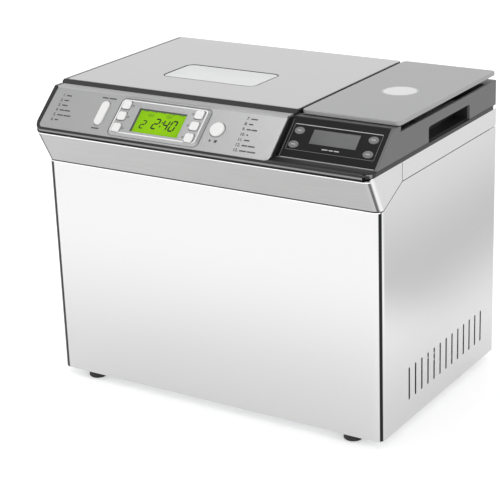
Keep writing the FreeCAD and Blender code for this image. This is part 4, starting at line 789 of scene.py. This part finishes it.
def moduleLines(panel, materials):
    look = moduleLook
    thick = look["proud"] * mm
    low, high = panel.span("display_frame")
    middle = panel.middle("display_frame")
    plate = panel.face("control_faceplate")
    dark = keyShadows(panel, thick)
    # painted shadow strips in the display's recess, at its left and its top
    lcdLow, lcdHigh = panel.span("display_lcd")
    lcd = panel.middle("display_lcd")
    side, top = look["lcdSide"] * mm, look["lcdTop"] * mm
    leftShadow = sheetPiece(side, lcdHigh.y - lcdLow.y, stripCorner, thick)
    dark.append(moved(leftShadow, panel.at(lcdLow.x + side / 2, lcd.y, lcdHigh.z)))
    topShadow = sheetPiece(lcdHigh.x - lcdLow.x, top, stripCorner, thick)
    dark.append(moved(topShadow, panel.at(lcd.x, lcdHigh.y - top / 2, lcdHigh.z)))
    # painted shadow line on the silver plate round the foot of the module and round the start key
    line = look["bezelShadow"] * mm
    foot = sheetPiece(high.x - low.x + 2 * line, high.y - low.y + look["bezelRise"] * mm,
                      look["bezelCorner"] * mm, thick, line=line, steps=8)
    dark.append(moved(foot, panel.at(middle.x, middle.y, plate)))
    startLow, startHigh = panel.span("start_stop_key")
    start = panel.middle("start_stop_key")
    radius = (startHigh.x - startLow.x) / 2 + look["startShadow"] * mm
    ring = discPiece(radius, thick, line=look["startLine"] * mm, sides=64)
    dark.append(moved(ring, panel.at(start.x, start.y, plate)))
    # the painted shadow pieces share one dark material
    finishPiece(joined(dark), "moduleShadows", "casing", materials["paintedShadowTone"])
    # painted highlight round the edge of the module's top face
    bevel = moduleBevel(panel, high)
    edge = sheetPiece(high.x - low.x - 2 * bevel, high.y - low.y - 2 * bevel, look["shineCorner"] * mm,
                      thick, line=look["bezelShine"] * mm, steps=8)
    moved(edge, panel.at(middle.x, middle.y, high.z))
    finishPiece(edge, "moduleShine", "casing", materials["paintedHighlightTone"])
    print("module lines made")


def moduleBevel(panel, high):
    # how far the top face of the module is inside its foot
    return high.x - max(p.x for p in panel.points("display_frame") if p.z > high.z - 0.02 * mm)


# --- print on the silver panel
printLook = {
    "leftX": -183.8, "leftTop": 44.3, "leftStep": 6.1, "leftWords": (13.0, 12.0, 13.5, 20.0, 24.0, 10.5),
    "rightX": 44.8, "rightTop": 46.3, "rightStep": 6.15,
    "rightWords": (14.0, 11.0, 18.5, 8.0, 12.5, 21.5, 25.0),
    "footDrop": 2.65, "numberSize": 5.0, "numberDrop": 1.5, "numberRoom": 5.5, "proud": 0.05,
    "wordHeight": 1.5, "wordGap": 1.5, "wordFill": 0.92, "splitOver": 18, "split": (0.45, 0.55),
}


def wordBars(start, length):
    # a plain bar, broken where words would be apart
    look = printLook
    width, height = (length - look["numberRoom"]) * mm, look["wordHeight"] * mm
    shares = look["split"] if length > look["splitOver"] else (1.0,)
    pieces = []
    x = 0.0
    for share in shares:
        barWidth = width * share * look["wordFill"]
        bar = sheetPiece(barWidth, height, height * 0.4, look["proud"] * mm)
        pieces.append(moved(bar, start @ Matrix.Translation((x + barWidth / 2, 0, 0))))
        x += width * share
    return pieces


def panelPrint(panel, materials):
    look = printLook
    low, _ = panel.span("control_faceplate")
    foot = low.y - look["footDrop"] * mm
    plate = panel.face("control_faceplate")
    numbers, bars = [], []
    columns = (
        (1, look["leftX"], look["leftTop"], look["leftStep"], look["leftWords"]),
        (7, look["rightX"], look["rightTop"], look["rightStep"], look["rightWords"]),
    )
    for first, x, top, step, words in columns:
        for row, length in enumerate(words):
            s = foot + (top - row * step) * mm
            figure = numberPiece(str(first + row) + ".", look["numberSize"] * mm, look["proud"] * mm)
            numberWidth = max(v.co.x for v in figure.data.vertices)
            numbers.append(moved(figure, panel.at(x * mm, s - look["numberDrop"] * mm, plate)))
            bars += wordBars(panel.at(x * mm + numberWidth + look["wordGap"] * mm, s, plate), length)
    finishPiece(joined(numbers), "programNumbers", "casing", materials["greyInk"])
    finishPiece(joined(bars), "programBars", "casing", materials["greyInk"])
    print("panel print made")


symbolLook = {
    "proud": 0.05, "barHeight": 1.5, "barCorner": 0.4, "menuBar": 9.5, "belowRocker": 4.0,
    "lightBars": (7.5, 9.5), "lightBack": 9.0, "lightGap": 1.3, "aboveRocker": 4.3,
    "symbolDrop": 5.2, "symbolSize": 3.2, "squareAt": 1.1, "squareCorner": 0.08, "arrowAt": -1.0,
    "arrowRadius": 0.62,
    "labelWidth": 2.8, "labelHeight": 0.6, "labelCorner": 0.2, "labelGap": 1.5, "labelRise": 0.55,
}


def keySymbols(panel, materials):
    # bars above and below the rocker, an arrow and a square below the start key
    look = symbolLook
    plate = panel.face("control_faceplate")
    thick = look["proud"] * mm
    height, corner = look["barHeight"] * mm, look["barCorner"] * mm
    low, high = panel.span("menu_light_rocker")
    middle = panel.middle("menu_light_rocker").x
    menu = sheetPiece(look["menuBar"] * mm, height, corner, thick)
    pieces = [moved(menu, panel.at(middle, low.y - look["belowRocker"] * mm, plate))]
    x = middle - look["lightBack"] * mm
    for width in look["lightBars"]:
        bar = sheetPiece(width * mm, height, corner, thick)
        pieces.append(moved(bar, panel.at(x + width * mm / 2, high.y + look["aboveRocker"] * mm, plate)))
        x += (width + look["lightGap"]) * mm
    low, _ = panel.span("start_stop_key")
    middle = panel.middle("start_stop_key").x
    size = look["symbolSize"] * mm
    row = low.y - look["symbolDrop"] * mm
    square = sheetPiece(size, size, size * look["squareCorner"], thick)
    pieces.append(moved(square, panel.at(middle + size * look["squareAt"], row, plate)))
    arrow = discPiece(size * look["arrowRadius"], thick, sides=3)
    turn = Matrix.Rotation(math.radians(-90), 4, "Z")
    pieces.append(moved(arrow, panel.at(middle + size * look["arrowAt"], row, plate) @ turn))
    finishPiece(joined(pieces), "keySymbols", "casing", materials["greyInk"])
    keyLabels(panel, materials)
    print("key symbols made")


def keyLabels(panel, materials):
    # two short bars beside each of the six keys, on the display's side
    look = symbolLook
    label = sheetPiece(look["labelWidth"] * mm, look["labelHeight"] * mm, look["labelCorner"] * mm,
                       look["proud"] * mm)
    _, frameHigh = panel.span("display_frame")
    reach = (look["labelGap"] + look["labelWidth"] / 2) * mm
    labels = []
    for side in keySides:
        for row in keyRows:
            low, high = panel.span("key_" + row + "_" + side)
            x = high.x + reach if side == "left" else low.x - reach
            for rise in (-look["labelRise"], look["labelRise"]):
                spot = panel.at(x, (low.y + high.y) / 2 + rise * mm, frameHigh.z - letIn)
                labels.append(twinAt(label, spot))
    discard(label)
    finishPiece(joined(labels), "keyLabels", "casing", materials["greyInk"])


# --- print, a dim outline and painted highlight lines at the edges of the scale's panel, from the casing's right and the plate's foot
scaleLook = {
    "proud": 0.05, "footDrop": 0.7, "outline": (-104.6, -8.0, 9.9, 39.2), "line": 0.45, "corner": 1.4,
    "sideLine": (-107.6, 1.2, 43.5), "footLine": (-106.5, -4.2, 0.95), "edgeWidth": 0.55,
    "topLine": 0.72, "topShort": 1.0, "topDrop": 0.3,
    "captionBack": 9.0, "captionDrop": 4.6, "captionWords": (6.5, 4.5, 5.5), "captionHeight": 1.1,
    "captionGap": 1.2, "captionCorner": 0.35,
    "legendWidth": 4.6, "legendHeight": 0.9, "legendCorner": 0.3,
}


def scaleLines(scale, plate, materials):
    # dim outline and left edge line, and painted highlight lines along the top and the foot, which it
    # returns
    look = scaleLook
    _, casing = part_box("body_wrap")
    faceLow, _ = scale.span("scale_faceplate")
    right, foot = casing.x, faceLow.y - look["footDrop"] * mm
    thick, edgeWidth = look["proud"] * mm, look["edgeWidth"] * mm
    x0, x1, s0, s1 = look["outline"]
    middleX, middleS = right + (x0 + x1) / 2 * mm, foot + (s0 + s1) / 2 * mm
    ring = sheetPiece((x1 - x0) * mm, (s1 - s0) * mm, look["corner"] * mm, thick, line=look["line"] * mm)
    moved(ring, scale.at(middleX, middleS, plate))
    sideX, sideFrom, sideTo = look["sideLine"]
    side = sheetPiece(edgeWidth, (sideTo - sideFrom) * mm, stripCorner, thick)
    moved(side, scale.at(right + sideX * mm, foot + (sideFrom + sideTo) / 2 * mm, plate))
    finishPiece(joined([ring, side]), "scaleOutline", "casing", materials["dimInk"])
    # painted highlight lines along the panel's top and its foot
    top = sheetPiece((x1 - x0 - look["topShort"]) * mm, look["topLine"] * mm, stripCorner, thick * 1.5)
    moved(top, scale.at(middleX, foot + (s1 - look["topDrop"]) * mm, plate))
    footFrom, footTo, footRise = look["footLine"]
    edge = sheetPiece((footTo - footFrom) * mm, edgeWidth, stripCorner, thick)
    moved(edge, scale.at(right + (footFrom + footTo) / 2 * mm, foot + footRise * mm, plate))
    return [top, edge]


def scalePrint(scale, materials):
    look = scaleLook
    plate = scale.face("scale_faceplate")
    thick = look["proud"] * mm
    bright = scaleLines(scale, plate, materials)
    lcdLow, _ = scale.span("scale_lcd")
    x = scale.middle("scale_lcd").x - look["captionBack"] * mm
    for width in look["captionWords"]:
        bar = sheetPiece(width * mm, look["captionHeight"] * mm, look["captionCorner"] * mm, thick)
        bright.append(moved(bar, scale.at(x + width * mm / 2, lcdLow.y - look["captionDrop"] * mm, plate)))
        x += (width + look["captionGap"]) * mm
    # painted highlight lines and printed captions share the pale material
    finishPiece(joined(bright), "scalePrintAndHighlights", "casing", materials["palePrintAndHighlight"])
    bar = sheetPiece(look["legendWidth"] * mm, look["legendHeight"] * mm, look["legendCorner"] * mm, thick)
    for name in ("upper_left", "upper_right", "lower_left", "lower_right"):
        key = scale.middle("scale_key_" + name)
        _, high = scale.span("scale_key_" + name)
        legend = twinAt(bar, scale.at(key.x, key.y, high.z - letIn))
        finishPiece(legend, "scaleLegend_" + name, "scale_key_" + name, materials["palePrintAndHighlight"])
    discard(bar)
    print("scale print made")


# --- lid and platform details
sealLook = {"width": 1.1, "proud": 0.35, "corner": 9.0, "wider": 1.3, "sink": 0.35}
badgeLook = {"inset": 0.6, "line": 0.5, "proud": 0.06}


def windowSeal(materials):
    look = sealLook
    low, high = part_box("lid_window")
    _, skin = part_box("lid_skin")
    ring = sheetPiece(high.x - low.x + look["wider"] * mm, high.y - low.y + look["wider"] * mm,
                      look["corner"] * mm, look["proud"] * mm, line=look["width"] * mm, steps=8)
    middle = (low + high) / 2
    moved(ring, Matrix.Translation((middle.x, middle.y, skin.z - look["sink"] * mm)))
    finishPiece(ring, "windowSeal", "lid", materials["rubber"])
    print("window seal made")


def badgeRing(materials):
    look = badgeLook
    low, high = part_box("platform_badge")
    radius = (high.x - low.x) / 2 - look["inset"] * mm
    ring = discPiece(radius, look["proud"] * mm, line=look["line"] * mm, sides=96)
    middle = (low + high) / 2
    moved(ring, Matrix.Translation((middle.x, middle.y, high.z - letIn)))
    finishPiece(ring, "badgeRing", "platform", materials["dimInk"])
    print("badge ring made")


setCamera()
setLights()
setFloor()
materials = dressNodes()
controlPanel = Slope("start_press")
scalePanel = Slope("scale_key_upper_left_press")
displayFigures(controlPanel, materials)
moduleLines(controlPanel, materials)
panelPrint(controlPanel, materials)
keySymbols(controlPanel, materials)
scalePrint(scalePanel, materials)
windowSeal(materials)
badgeRing(materials)
